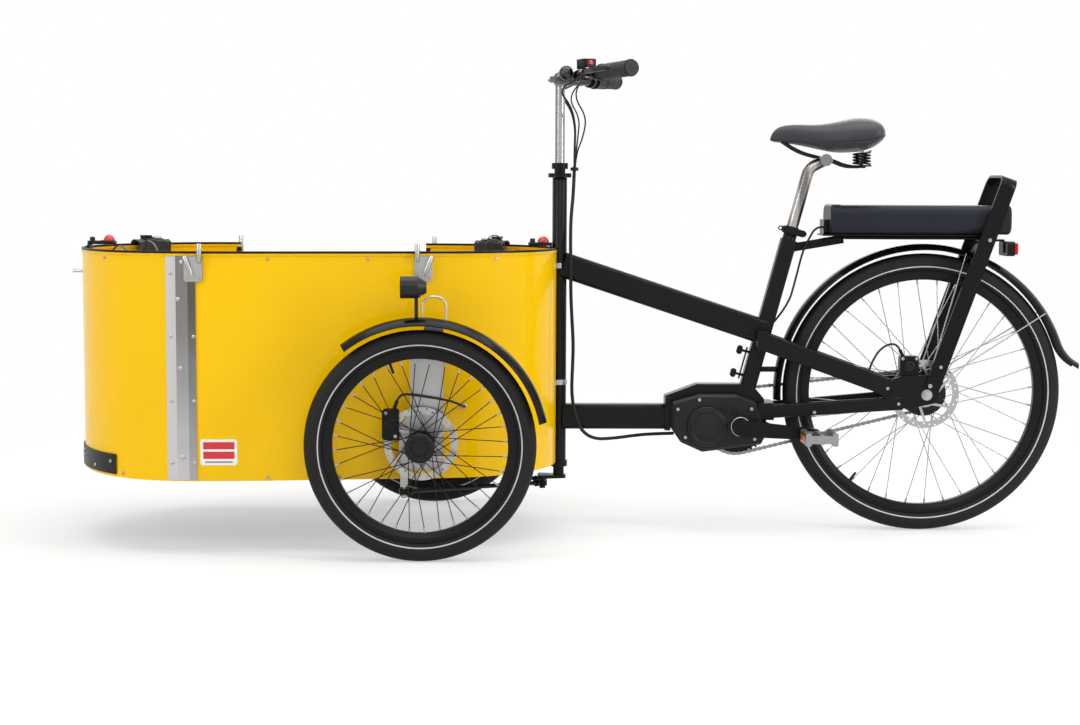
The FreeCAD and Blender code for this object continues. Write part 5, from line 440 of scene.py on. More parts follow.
def split_paint(name, base, other, mask_of):
    """Two finishes on one solid, told apart by place; each is a colour, a roughness and a metal share."""
    paint = Paint(name, 0.16)
    mask = mask_of(*paint.axes())
    cloud = paint.noise(30.0)
    tint = paint.mix(cloud, (0.86, 0.86, 0.86), (1.0, 1.0, 1.0))
    blended = paint.mix(mask, base[0], other[0])
    paint.set(base_color=paint.node("ShaderNodeVectorMath", {"operation": "MULTIPLY"}, blended, tint),
              roughness=base[1] + mask * (other[1] - base[1]) + cloud * 0.08,
              metallic=base[2] + mask * (other[2] - base[2]))
    return paint.bump(paint.noise(600.0), 0.00005, 0.4)


def caliper_side(x, y, z):
    return (x < FRONT_AXLE_X - 0.047) * (z > FRONT_AXLE_Z + 0.0078)


def tail_lens(x, y, z):
    return x > TAIL_LENS_X


def axle_nuts(x, y, z):
    return (distance(x - REAR_AXLE_X, z - REAR_AXLE_Z) < NUT_REACH) * (abs(y) > NUT_FOOT_Y)


def trim_lip(x, y, z):
    return z.between(BOX_TOP_Z - 0.0100, BOX_TOP_Z - 0.0035)


def bell_side(x, y, z):
    from_end = sum((end - at) * run for end, at, run in zip(GRIP_END, (x, y, z), GRIP_LINE))
    return (from_end > BELL_FROM_END) * (y < 0.0)


def post_clamp(x, y, z):
    return x.between(REAR_AXLE_X - 0.252, REAR_AXLE_X - 0.220) * (z < 0.884)


def nipples(x, y, z):
    return distance(x - FRONT_AXLE_X, z - FRONT_AXLE_Z) > NIPPLE_RADIUS


def guard_stays(x, y, z):
    return abs(y) > GUARD_EDGE_Y


def both(part):
    return ["left_" + part, "right_" + part]


def dress(paint, *names):
    """Gives solids of the model their finish."""
    for name in names:
        finishes = nodes[name].data.materials
        finishes.clear()
        finishes.append(paint.material)


def dress_solids():
    """Finishes of the solids that no added piece shares."""
    dress(gloss_yellow(), "box_front_sheet", "box_left_sheet", "box_right_sheet")
    dress(satin_black("frame_black"), "axle_beam", "rear_rack", "crankset", "steering_shaft", "rear_caliper",
          "ring_lock", *both("tie_rod"))
    dress(satin_black("guard_black", 0.003, 0.16, 200.0, 0.16), *both("front_mudguard"))
    dress(satin_black("bar_black", 0.005, 0.24), "handlebar")
    dress(satin_black("rim_black", 0.006, 0.28), "rear_rim", *both("rim"))
    dress(satin_black("hub_black", 0.006, 0.3, 500.0, 0.25), "rear_hub")
    dress(polished_tube(), "stem", "seat_post", "lock_shackle")
    dress(strip_steel(), "seam_strips")
    dress(bright_metal("pedal_alloy", 0.34, 0.34, 200.0), *both("pedal"))
    dress(bright_metal("rotor_steel", 0.46, 0.28, 400.0), "rear_rotor", *both("rotor"))
    dress(bright_metal("chain_steel", 0.28, 0.34, 300.0), "chain")
    dress(bright_metal("spoke_steel", 0.34, 0.22, 60.0), "rear_spokes")
    dress(bench_board(), "box_boards")
    dress(battery_case(), "battery")
    dress(headlamp_finish(), "headlamp")
    for tyre, centre, stripe in (
            ("left_tyre", (FRONT_AXLE_X, -HALF_TRACK, FRONT_AXLE_Z), FRONT_STRIPE_RADIUS),
            ("right_tyre", (FRONT_AXLE_X, HALF_TRACK, FRONT_AXLE_Z), FRONT_STRIPE_RADIUS),
            ("rear_tyre", (REAR_AXLE_X, 0.0, REAR_AXLE_Z), REAR_STRIPE_RADIUS)):
        dress(tyre_rubber(tyre + "_rubber", centre, stripe), tyre)
    for name, base, other, mask_of, *dressed in (
            ("knuckle_zinc", BRIGHT, DARK, caliper_side, *both("knuckle")),
            ("tail_light", DARK, TAIL_RED, tail_lens, "tail_light"),
            ("frame_paint", FRAME_PAINT, NUT_STEEL, axle_nuts, "main_frame"),
            ("rim_trim", DARK, LIP_YELLOW, trim_lip, "box_trim"),
            ("bar_fittings", DARK, BELL_STEEL, bell_side, "bar_controls"),
            ("saddle_steel", DARK, CLAMP_STEEL, post_clamp, "saddle_frame"),
            ("front_spokes", DARK, BRIGHT, nipples, *both("spokes")),
            ("rear_guard", GUARD_PAINT, BRIGHT, guard_stays, "rear_mudguard")):
        dress(split_paint(name, base, other, mask_of), *dressed)


# Forms


def in_scene(name, data):
    thing = bpy.data.objects.new(name, data)
    bpy.context.scene.collection.objects.link(thing)
    return thing


def piece(name, mesh, paint, body):
    """A new piece on a body, with its finish; one without a body stays unattached."""
    thing = in_scene(name, mesh)
    mesh.materials.append(paint.material)
    for polygon in mesh.polygons:
        polygon.use_smooth = True
    mesh.set_sharp_from_angle(angle=SMOOTH_BELOW)
    if body:
        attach(thing, body)
    return thing


def built(name, shape, paint, body="frame"):
    """A piece of a finished bmesh."""
    bmesh.ops.recalc_face_normals(shape, faces=shape.faces)
    mesh = bpy.data.meshes.new(name)
    shape.to_mesh(mesh)
    shape.free()
    return piece(name, mesh, paint, body)


def skin(shape, rings, closed=True):
    """Faces between rings of vertices; a ring of one vertex is a point."""
    steps = max(len(ring) for ring in rings)
    for lower, upper in zip(rings, rings[1:]):
        for i in range(steps if closed else steps - 1):
            j = (i + 1) % steps
            around_face = ((lower, i), (lower, j), (upper, j), (upper, i))
            corners = [ring[k % len(ring)] for ring, k in around_face]
            shape.faces.new(list(dict.fromkeys(corners)))


def around(steps):
    """Cosine and sine at even steps round a circle."""
    angles = [2 * math.pi * i / steps for i in range(steps)]
    return [(math.cos(angle), math.sin(angle)) for angle in angles]


def turn_into(shape, profile, place, axis, steps):
    """Adds a turned form: (radius, height) pairs, height along the axis from its place."""
    axis = Vector(axis).normalized()
    side = axis.orthogonal().normalized()
    third = axis.cross(side)
    rings = []
    for radius, height in profile:
        centre = Vector(place) + axis * height
        if radius == 0.0:
            rings.append([shape.verts.new(centre)])
        else:
            spots = [centre + (side * c + third * s) * radius for c, s in around(steps)]
            rings.append([shape.verts.new(spot) for spot in spots])
    skin(shape, rings)


def turned(name, forms, paint, body="frame", steps=24):
    """One piece of several turned forms, each a profile, a place and an axis."""
    shape = bmesh.new()
    for profile, place, axis in forms:
        turn_into(shape, profile, place, axis, steps)
    return built(name, shape, paint, body)


def slab_into(shape, outline, depth, place, across, up, bevel):
    """Adds a flat form: outline of (across, up) pairs, pushed out along their normal, edges rounded."""
    across, up = Vector(across).normalized(), Vector(up).normalized()
    corners = [shape.verts.new(Vector(place) + across * a + up * b) for a, b in outline]
    face = shape.faces.new(corners)
    pushed = bmesh.ops.extrude_face_region(shape, geom=[face])["geom"]
    moving = [part for part in pushed if isinstance(part, bmesh.types.BMVert)]
    bmesh.ops.translate(shape, verts=moving, vec=across.cross(up) * depth)
    edges = dict.fromkeys(edge for vertex in corners + moving for edge in vertex.link_edges)
    bmesh.ops.bevel(shape, geom=list(edges), offset=bevel, segments=2, profile=0.5, affect="EDGES")


def slabs(name, forms, paint, body="frame"):
    """One piece of several flat forms."""
    shape = bmesh.new()
    for form in forms:
        slab_into(shape, *form)
    return built(name, shape, paint, body)


def rounded_outline(width, height, corner, steps=4):
    points = []
    for quarter, (sx, sy) in enumerate(((1, 1), (-1, 1), (-1, -1), (1, -1))):
        for i in range(steps + 1):
            angle = math.pi / 2 * (quarter + i / steps)
            points.append((sx * (width / 2 - corner) + corner * math.cos(angle),
                           sy * (height / 2 - corner) + corner * math.sin(angle)))
    return points


def route(points, radius=0.0):
    """Mesh of the smooth line through a route's points: bare, or a round tube."""
    curve = bpy.data.curves.new("route", "CURVE")
    curve.dimensions = "3D"
    curve.resolution_u = 10
    curve.bevel_depth = radius
    curve.bevel_resolution = 4
    curve.use_fill_caps = True
    spline = curve.splines.new("NURBS")
    spline.points.add(len(points) - 1)
    for knot, place in zip(spline.points, points):
        knot.co = (*place, 1.0)
    spline.order_u = 3
    spline.use_endpoint_u = True
    carrier = bpy.data.objects.new("route", curve)
    mesh = bpy.data.meshes.new_from_object(carrier)
    bpy.data.objects.remove(carrier)
    bpy.data.curves.remove(curve)
    return mesh


def shifted(origin, offsets):
    """Points of a route, given from one place."""
    return [tuple(start + step for start, step in zip(origin, offset)) for offset in offsets]


def cable(name, points, radius, paint, body="frame"):
    mesh = route(points, radius)
    mesh.name = name
    return piece(name, mesh, paint, body)


def ribbon_into(shape, points, width, thickness, wide=ACROSS):
    """Adds webbing along a route, lying across one direction, with thicker woven edges."""
    wide = wide.normalized()
    path = [vertex.co.copy() for vertex in route(points).vertices]
    half, edge, thin = width / 2, thickness / 2, thickness * 0.38
    hem = [(half * 0.96, edge), (half * 0.84, edge), (half * 0.78, thin)]
    upper = [(-a, b) for a, b in hem] + hem[::-1]
    section = [(-half, 0.0), *upper, (half, 0.0), *[(-a, -b) for a, b in upper]]
    rings = []
    for i, spot in enumerate(path):
        tangent = (path[min(i + 1, len(path) - 1)] - path[max(i - 1, 0)]).normalized()
        out = tangent.cross(wide).normalized()
        rings.append([shape.verts.new(spot + wide * a + out * b) for a, b in section])
    skin(shape, rings)
    shape.faces.new(rings[0])
    shape.faces.new(rings[-1][::-1])


def wall_at(x):
    """Place and outward direction of the box's left wall at a station, in plan."""
    if x < NOSE_X + NOSE_RADIUS * (1 - math.sqrt(0.5)):
        centre, radius = Vector((NOSE_X + NOSE_RADIUS, 0.0, 0.0)), NOSE_RADIUS
    elif x < SHOULDER_X:
        centre, radius = Vector((SHOULDER_X, SHOULDER_RADIUS - HALF_BOX, 0.0)), SHOULDER_RADIUS
    elif x < BEND_X:
        return Vector((x, -HALF_BOX, 0.0)), -ACROSS
    elif x < BEND_X + BEND_RADIUS * math.sin(TAPER):
        centre, radius = Vector((BEND_X, BEND_RADIUS - HALF_BOX, 0.0)), BEND_RADIUS
    elif x < BACK_X + BACK_RADIUS * math.sin(TAPER):
        out = Vector((math.sin(TAPER), -math.cos(TAPER), 0.0))
        foot = Vector((BACK_X, 0.0, 0.0)) + out * BACK_RADIUS
        run = (x - foot.x) / math.cos(TAPER)
        return foot + Vector((math.cos(TAPER), math.sin(TAPER), 0.0)) * run, out
    else:
        centre, radius = Vector((BACK_X, 0.0, 0.0)), BACK_RADIUS
    along = (x - centre.x) / radius
    out = Vector((along, -math.sqrt(1.0 - along * along), 0.0))
    return centre + out * radius, out


def mirrored(vector):
    """The same direction or place on the right-hand side."""
    return Vector((vector.x, -vector.y, vector.z))


def on_wall(x, z, off=0.0, side=-1):
    """Place and outward direction on a side wall of the box, a little off its surface."""
    spot, out = wall_at(x)
    spot = spot + out * off
    spot.z = z
    return (mirrored(spot), mirrored(out)) if side > 0 else (spot, out)


def dome(radius, height):
    return [(radius, 0.0), (radius, height * 0.3), (radius * 0.84, height * 0.72),
            (radius * 0.5, height * 0.95), (0.0, height)]


def socket_head(radius, height):
    """Round screw head with a sunk drive."""
    return [(radius, 0.0), (radius, height * 0.55), (radius * 0.86, height * 0.95), (radius * 0.56, height),
            (radius * 0.48, height * 0.4), (0.0, height * 0.4)]


# Pieces

def saddle_cover(paint):
    """Sprung saddle: narrow nose, broad back, crowned top and drawn-in flanks, with a piped seam."""
    # In millimetres: station from the rear axle, top, bottom and half width
    stations = [(-363, 922, 914, 4), (-358, 936, 911, 13), (-343, 948, 909, 21), (-312, 952, 906, 28),
                (-281, 951, 900, 35), (-257, 951, 895, 44), (-234, 954, 890, 56), (-214, 958, 887, 69),
                (-197, 962, 886, 81), (-175, 967, 887, 93), (-152, 968, 889, 98), (-130, 965, 897, 98),
                (-117, 959, 906, 90), (-108, 950, 914, 74), (-104, 938, 922, 50)]
    groove_depth, groove_half = 0.018, 12.0
    shape = bmesh.new()
    rings = []
    seam = []
    for x, top, bottom, half in stations:
        x = REAR_AXLE_X + x / 1000
        side_z = bottom + 0.40 * (top - bottom)
        ring = []
        for c, s in around(32):
            if s >= 0:
                y = half * math.copysign(abs(c) ** 0.8, c)
                z = side_z + (top - side_z) * s ** 0.8
                z -= groove_depth * abs(half - 40) * max(0.0, 1.0 - abs(y) / groove_half)
            else:
                y = half * math.copysign(abs(c) ** 0.7, c) * (1.0 + 0.10 * s)
                z = side_z + (side_z - bottom) * math.copysign(abs(s) ** 0.8, s)
            ring.append(shape.verts.new((x, y / 1000, z / 1000)))
        rings.append(ring)
        seam.append(Vector((x, half * 0.985 / 1000, (side_z - 0.3 * (side_z - bottom)) / 1000)))
    nose = shape.verts.new((REAR_AXLE_X - 0.364, 0.0, 0.918))
    back = shape.verts.new((REAR_AXLE_X - 0.103, 0.0, 0.931))
    skin(shape, [[nose], *rings, [back]])
    cover = built("saddle_cover", shape, paint, "seat")
    smooth = cover.modifiers.new("rounding", "SUBSURF")
    smooth.levels = 2
    smooth.render_levels = 2
    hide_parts("saddle")
    piping = [mirrored(spot) for spot in seam] + seam[::-1]
    cable("saddle_piping", piping, 0.0011, paint, "seat")


def bench_straps(web, shell):
    """Webbing straps over both benches and up to the rim, with a slider on each."""
    seat = FLOOR_Z + FLOOR_THICKNESS + BENCH_HEIGHT + STRAP_THICKNESS / 2
    rim = BOX_TOP_Z
    outer_y = STRAP_Y + STRAP_WIDTH
    back = BACK_X + math.sqrt((BACK_RADIUS - SHEET) ** 2 - outer_y ** 2)
    nose = NOSE_X + NOSE_RADIUS - math.sqrt((NOSE_RADIUS - SHEET) ** 2 - outer_y ** 2)
    # Reach from the wall, and height
    foot = ((0.100, seat), (0.030, seat), (0.014, seat + 0.02))
    back_run = ((0.190, seat), *foot, (0.014, rim - 0.042), (0.040, rim + 0.028), (0.072, rim + 0.022),
                (0.084, rim - 0.022), (0.088, rim - 0.102))
    nose_run = ((0.180, seat), *foot, (0.014, rim - 0.062), (0.034, rim + 0.010), (0.062, rim + 0.006),
                (0.074, rim - 0.032), (0.078, rim - 0.102))
    slider = rounded_outline(0.034, 0.026, 0.004)
    shape = bmesh.new()
    sliders = []
    for y in (-STRAP_Y, STRAP_Y):
        for wall, turn, run in ((back, -1.0, back_run), (nose, 1.0, nose_run)):
            points = [(wall + turn * reach, y, z) for reach, z in run]
            ribbon_into(shape, points, STRAP_WIDTH, STRAP_THICKNESS)
            place = (wall + turn * (run[-1][0] - 0.001), y, rim - 0.086)
            sliders.append((slider, 0.005, place, ACROSS * turn, UP, 0.0012))
    straps = built("belt_straps", shape, web)
    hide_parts("belts")
    slabs("belt_sliders", sliders, shell)


def belt_locks(shell):
    """Lock plates over the rim at nose and back, each with a leg, a cap and two screws."""
    rim = BOX_TOP_Z
    top = rim + 0.014
    cap = [(0.0062, 0.0), (0.0062, 0.006), (0.005, 0.0086), (0.0025, 0.009), (0.002, 0.008), (0.0, 0.008)]
    plates = []
    caps = []
    for plate, leg, cap_x in (
            ((NOSE_X + 0.006, NOSE_X + 0.070), (NOSE_X + 0.006, NOSE_X + 0.013), NOSE_X + 0.016),
            ((-0.114, -0.0585), (-0.064, -0.0585), -0.104)):
        for (x0, x1), corner, depth, z, bevel in ((plate, 0.008, 0.008, rim + 0.006, 0.0015),
                                                  (leg, 0.002, 0.050, rim - 0.044, 0.001)):
            outline = rounded_outline(x1 - x0, LOCK_WIDTH, corner)
            plates.append((outline, depth, ((x0 + x1) / 2, 0.0, z), ALONG, ACROSS, bevel))
        caps.append((cap, (cap_x, 0.0, top), UP))
        for y in (-0.013, 0.013):
            caps.append((socket_head(0.0026, 0.0016), (sum(plate) / 2 + 0.002, y, top), UP))
    slabs("belt_lock_plates", plates, shell)
    turned("belt_lock_caps", caps, shell)


def belt_knobs(red):
    """Round red press knobs of the belt locks, on a short neck."""
    steps = 12
    for end in ("front", "rear"):
        node = end + "_belt_button"
        low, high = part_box(node)
        middle = ((low[0] + high[0]) / 2, (low[1] + high[1]) / 2, low[2])
        ball = (high[0] - low[0]) / 2
        centre = high[2] - low[2] - ball
        profile = [(0.0, 0.0), (ball * 0.5, 0.0), (ball * 0.5, max(0.001, centre - ball * 0.86))]
        for i in range(steps):
            angle = math.radians(-60 + 150 * i / steps)
            profile.append((ball * math.cos(angle), centre + ball * math.sin(angle)))
        profile.append((0.0, centre + ball))
        knob = turned(end + "_belt_knob", [(profile, middle, UP)], red, end + "_button", 32)
        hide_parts(node)


def belt_bundles(web, shell, bright):
    """Spare webbing hung over the right wall's rim near each belt lock, with the belt's tongues on it."""
    shape = bmesh.new()
    tongues = []
    grips = []
    rim = BOX_TOP_Z
    # Shift along the wall, height over the rim and reach inside the wall
    loops = ((0.0, 0.010, 0.018), (0.020, 0.006, 0.016), (-0.018, 0.004, 0.020), (0.034, 0.003, 0.014))
    for x0, turn in ((NOSE_X + 0.098, 1.0), (-0.192, -1.0)):
        for shift, height, inner in loops:
            x = x0 + turn * shift
            over = rim + height
            hang = ((-0.010, rim - 0.110), (-0.010, rim - 0.040), (-inner, rim + 0.004), (-inner, over),
                    (0.001, over + 0.008), (0.012, over), (0.009, rim - 0.002), (0.008, rim - 0.050))
            path = [on_wall(x, z, off, 1)[0] for off, z in hang]
            ribbon_into(shape, path, 0.028, 0.0024, UP.cross(on_wall(x, rim, 0.0, 1)[1]))
        spot, out = on_wall(x0 + turn * 0.004, rim + 0.0148, -0.004, 1)
        along = UP.cross(out) * -turn
        across = UP.cross(along)
        tongue, grip = rounded_outline(0.034, 0.022, 0.005), rounded_outline(0.022, 0.026, 0.005)
        tongues.append((tongue, 0.0022, spot + along * 0.012, along, across, 0.0006))
        grips.append((grip, 0.006, spot - along * 0.012, along, across, 0.0018))
    built("belt_bundles", shape, web)
    slabs("belt_tongues", tongues, bright)
    slabs("belt_tongue_grips", grips, shell)


def box_fasteners(bright):
    """Rivets of the seam flange and cover, screws along the rim and the foot, and the kick plate's screws."""
    # Station from the rear axle, and height
    flange = [(-1.704, z) for z in (0.616, 0.479, 0.338, 0.202)]
    cover_edge = [(-1.655, z) for z in (0.479, 0.338, 0.202)]
    cover = [(-1.684, 0.409), (-1.680, 0.215), (-1.688, 0.560), (-1.679, 0.640)]
    rim_and_foot = [(-1.862, 0.646), (-1.495, 0.646), (-1.279, 0.646), (-1.498, 0.169), (-1.343, 0.169),
                    (-1.000, 0.646), (-1.820, 0.172)]
    no_entry = [(rel, z) for rel, z in rim_and_foot if z < 0.5 or not -1.64 < rel < -1.17]
    kick_plate = [(-1.938, 0.190), (-1.895, 0.180), (-1.938, 0.202), (-1.850, 0.196)]

    def heads(profile, spots, off, side):
        return [(profile, *on_wall(REAR_AXLE_X + rel, z, off, side)) for rel, z in spots]

    rivets = []
    screws = []
    for side in (-1, 1):
        rivets += heads(dome(0.0042, 0.0022), flange, 0.0015, side)
        rivets += heads(dome(0.0042, 0.0022), cover_edge, 0.003, side)
        rivets += heads(dome(0.0052, 0.0030), cover, 0.003, side)
        screws += heads(socket_head(0.0036, 0.0022), no_entry if side > 0 else rim_and_foot, 0.0, side)
        screws += heads(socket_head(0.0040, 0.0026), kick_plate, 0.004, side)
    turned("seam_rivets", rivets, bright, steps=18)
    turned("box_screws", screws, bright, steps=18)


def pole_plate_screws(bright):
    """Three screws on each canopy-pole plate."""
    seam = SEAM_X + 0.027
    plates = ((seam, 0.006, -1), (seam, 0.006, 1), (-0.347, 0.003, -1), (-0.330, 0.003, 1))
    forms = [(socket_head(0.0034, 0.0020), *on_wall(x + shift, z, off, side)) for x, off, side in plates
             for shift, z in ((-0.012, 0.606), (0.013, 0.606), (0.014, 0.640))]
    turned("pole_plate_screws", forms, bright, steps=18)


def side_label():
    """Printed film on the left wall, bent to its curve, with rounded corners."""
    columns = 26
    corner = 0.004
    shape = bmesh.new()
    rows = []
    for off in (0.0, 0.0004):
        low_row, high_row = [], []
        for i in range(columns + 1):
            at = LABEL_LOW_X + (LABEL_HIGH_X - LABEL_LOW_X) * i / columns
            inset = max(0.0, corner - min(at - LABEL_LOW_X, LABEL_HIGH_X - at))
            drop = corner - math.sqrt(max(0.0, corner * corner - inset * inset))
            for row, height in ((low_row, LABEL_LOW_Z + drop), (high_row, LABEL_HIGH_Z - drop)):
                row.append(shape.verts.new(on_wall(at, height, off)[0]))
        rows.append((low_row, high_row))
    (low_in, high_in), (low_out, high_out) = rows
    skin(shape, [low_in, low_out, high_out, high_in, low_in], False)
    built("side_label", shape, label_film())


def bar_cables(rubber):
    """Two cables and two thin wires from the bar to the column."""
    def hang(name, points, radius):
        run = cable(name, points, radius, rubber, None)
        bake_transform(run)
        return run

    for hand, side in SIDES:
        spread = side * 0.005
        points = [(0.0105, side * 0.1737, 1.0570), (-0.0051, side * 0.1493, 1.0479),
                  (COLUMN_X - 0.006, side * 0.062, 1.026), (COLUMN_X + 0.026, side * 0.030, 0.988),
                  (COLUMN_X + 0.036, spread, 0.940), (LOOM_X, spread, 0.896), (LOOM_X, spread, 0.852)]
        run = hang(hand + "_bar_cable", points, CABLE_RADIUS)
        if side < 0:
            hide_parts("bar_cables")
    for (hand, side), reach in zip(SIDES, (0.060, 0.047)):
        points = [(0.0136, side * 0.1785, 1.0543), (-0.0010, side * 0.1493, 1.0419),
                  (COLUMN_X + reach * 0.5, side * 0.075, 1.008), (COLUMN_X + reach, side * 0.038, 0.966),
                  (COLUMN_X + reach * 0.9, side * 0.012, 0.922), (LOOM_X + 0.003, side * 0.0035, 0.880),
                  (LOOM_X + 0.002, side * 0.0035, 0.848)]
        hang(hand + "_bar_wire", points, WIRE_RADIUS)


def frame_cables(rubber):
    """The loom from the column to the motor, the rear brake hose and the battery lead."""
    x = COLUMN_X + 0.017
    upper = ((0.017, 0.0, 0.026), (0.015, -0.004, -0.036), (0.009, -0.014, -0.091), (0.008, -0.022, -0.146),
             (0.009, -0.027, -0.206), (0.009, -0.027, -0.266), (0.012, -0.026, -0.326))
    lower = ((0.016, -0.024, 0.171), (0.014, -0.024, 0.111), (0.012, -0.026, 0.056), (0.020, -0.029, 0.006),
             (0.036, -0.029, -0.033), (0.066, -0.018, -0.053), (0.110, -0.004, -0.053),
             (0.155, 0.006, -0.048), (0.200, 0.012, -0.044))
    points = shifted((x, 0.0, HEAD_TOP_Z), upper) + shifted((x, 0.0, BEAM_Z), lower)
    points.append((CRANK_X - 0.150, 0.014, BEAM_Z - 0.043))
    loom = cable("column_loom", points, LOOM_RADIUS, rubber, None)
    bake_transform(loom)
    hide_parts("frame_cables")
    from_axle = ((-0.062, 0.0, 0.104), (-0.070, 0.0, 0.120), (-0.100, -0.003, 0.114), (-0.124, -0.005, 0.086),
                 (-0.136, -0.006, 0.052))
    points = shifted((REAR_AXLE_X, -0.056, REAR_AXLE_Z), from_axle)
    cable("rear_brake_hose", points, CABLE_RADIUS, rubber)
    x, y = REAR_AXLE_X - 0.240, -0.014
    points = [(x, y, 0.714), (x - 0.016, y, 0.714), (x - 0.032, y, 0.686), (0.5258, y, 0.656),
              (0.5102, y, 0.590), (0.4941, y, 0.530), (0.4580, y, 0.488)]
    cable("battery_lead", points, CABLE_RADIUS, rubber)


def front_hoses(rubber, bright):
    """Brake hoses from the front calipers to fittings in the box wall."""
    fitting = [(0.005, 0.0), (0.005, 0.004), (0.0062, 0.0045), (0.0062, 0.009), (0.0048, 0.0095),
               (0.0042, 0.0145), (0.0, 0.0145)]
    x, z = FRONT_AXLE_X, FRONT_AXLE_Z
    ends = []
    for hand, side in SIDES:
        foot, out = on_wall(BACK_X + 0.073, z + 0.072, 0.0, side)
        end = foot + out * 0.014
        port = side * 0.363
        points = [(x - 0.052, port, z + 0.092), (x - 0.0464, port, z + 0.1074), (x - 0.018, port, z + 0.106),
                  (x + 0.058, side * 0.361, z + 0.094), (x + 0.080, side * 0.345, z + 0.084),
                  tuple(end + out * 0.016), tuple(end)]
        run = cable(hand + "_brake_hose", points, CABLE_RADIUS, rubber, None)
        tuple(end + out * 0.010)
        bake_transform(run)
        ends.append((fitting, foot, out))
    turned("hose_ends", ends, bright)


def cable_tie(shell):
    """Band round the cables at the column's top."""
    painted_reflection_band = [(0.0085, -0.004), (0.0095, -0.003), (0.0095, 0.003), (0.0085, 0.004)]
    turned("cable_ties", [(painted_reflection_band, (LOOM_X, 0.0, 0.846), UP)], shell, "steering")


def grip_sleeves(rubber):
    """Rubber sleeves with ring grooves and a rounded end; the right one is short, beside the shifter."""
    start, line = GRIP_END + GRIP_LINE * 0.0005, -GRIP_LINE
    outer, groove = 0.0181, 0.0173
    for hand, length, place, axis in (("left", 0.116, start, line),
                                      ("right", 0.068, mirrored(start), mirrored(line))):
        profile = [(0.0, -0.0032), (0.0090, -0.0028), (0.0146, -0.0010), (0.0170, 0.0020), (0.0180, 0.0060)]
        for at in GRIP_GROOVES:
            if at < length - 0.006:
                profile += [(outer, at - 0.0022), (groove, at - 0.0012)]
                profile += [(groove, at + 0.0012), (outer, at + 0.0022)]
        profile += [(outer, length - 0.003), (0.0171, length)]
        turned(hand + "_grip_sleeve", [(profile, place, axis)], rubber, "bar", 40)


def bar_spot(from_end, ahead, rise):
    """Place near the left half of the bar: distance in from the grip's end, forwards and up."""
    front = Vector((-0.87739, -0.47977, 0.0))
    up = GRIP_LINE.cross(front) * -1.0
    return GRIP_END - GRIP_LINE * from_end + front * ahead + up * rise


def bar_trim(red, shell, bright):
    """Red key on the switch pod towards the grip, two keys on its top, and screws of levers and stem."""
    up = bar_spot(0.0, 0.0, 1.0) - GRIP_END
    turned("assist_key", [(dome(0.0062, 0.0032), bar_spot(0.169, 0.001, 0.0245), GRIP_LINE)], red, "bar")
    keys = [(dome(0.0050, 0.0022), bar_spot(0.192, ahead, 0.0325), up) for ahead in (-0.006, 0.007)]
    turned("switch_keys", keys, shell, "bar")
    screws = [(socket_head(0.0038, 0.0024), bar_spot(0.142, 0.027, rise), axis)
              for rise, axis in ((0.0090, up), (-0.0090, -up))]
    screws += [(head, mirrored(spot), mirrored(axis)) for head, spot, axis in screws]
    screws += [(socket_head(0.0042, 0.0034), (COLUMN_X - 0.025, y, 1.052), -ALONG) for y in (-0.011, 0.011)]
    turned("bar_screws", screws, bright, "bar", 18)


def hub_trim(shell):
    """Front hub caps: a domed middle in a ring of eight bumps, on the side away from the box."""
    cap = [(0.0175, -0.001), (0.0175, 0.0008), (0.0150, 0.0016), (0.0142, 0.0010), (0.0120, 0.0012),
           (0.0085, 0.0028), (0.0, 0.0034)]
    ring = 0.0245
    for hand, side in SIDES:
        y = side * (HALF_TRACK + 0.044)
        out = ACROSS * side
        forms = [(cap, (FRONT_AXLE_X, y, FRONT_AXLE_Z), out)]
        forms += [(dome(0.0046, 0.0026), (FRONT_AXLE_X + ring * c, y, FRONT_AXLE_Z + ring * s), out)
                  for c, s in around(8)]
        turned(hand + "_hub_trim", forms, shell, hand + "_wheel")


def motor_trim(shell, bright):
    """Cover ring, slanting fins and screws on the motor's left face, and the crank's bright seal ring."""
    left = -ACROSS
    cover = (CRANK_X - 0.078, -0.0600, CRANK_Z)
    ring = [(0.0400, -0.0005), (0.0400, 0.0012), (0.0386, 0.0022), (0.0372, 0.0012), (0.0372, -0.0005)]
    hub = [(0.0290, -0.0005), (0.0290, 0.0010), (0.0270, 0.0018), (0.0, 0.0020)]
    turned("motor_cover_ring", [(ring, cover, left), (hub, cover, left)], shell, steps=48)
    slant = 0.5
    fin_across = Vector((math.cos(slant), 0.0, -math.sin(slant)))
    fin_up = Vector((math.sin(slant), 0.0, math.cos(slant)))
    fins = []
    for i in range(5):
        place = (CRANK_X - 0.052 + i * 0.011, -0.0496, CRANK_Z + 0.046 - i * 0.003)
        outline = rounded_outline(0.0045, 0.026 - i * 0.002, 0.0022)
        fins.append((outline, 0.0034, place, fin_across, fin_up, 0.0008))
    slabs("motor_fins", fins, shell)
    spots = ((-0.146, 0.040), (-0.128, -0.026), (0.034, -0.030), (0.026, 0.041), (-0.096, 0.062))
    screws = [(socket_head(0.0042, 0.0030), (CRANK_X + dx, -0.0500, CRANK_Z + dz), left) for dx, dz in spots]
    turned("motor_screws", screws, bright, steps=18)
    seal = [(0.0228, 0.0), (0.0228, 0.0012), (0.0215, 0.0018), (0.0200, 0.0012), (0.0200, 0.0)]
    turned("crank_seal", [(seal, (CRANK_X, -0.0580, CRANK_Z), left)], bright, steps=40)


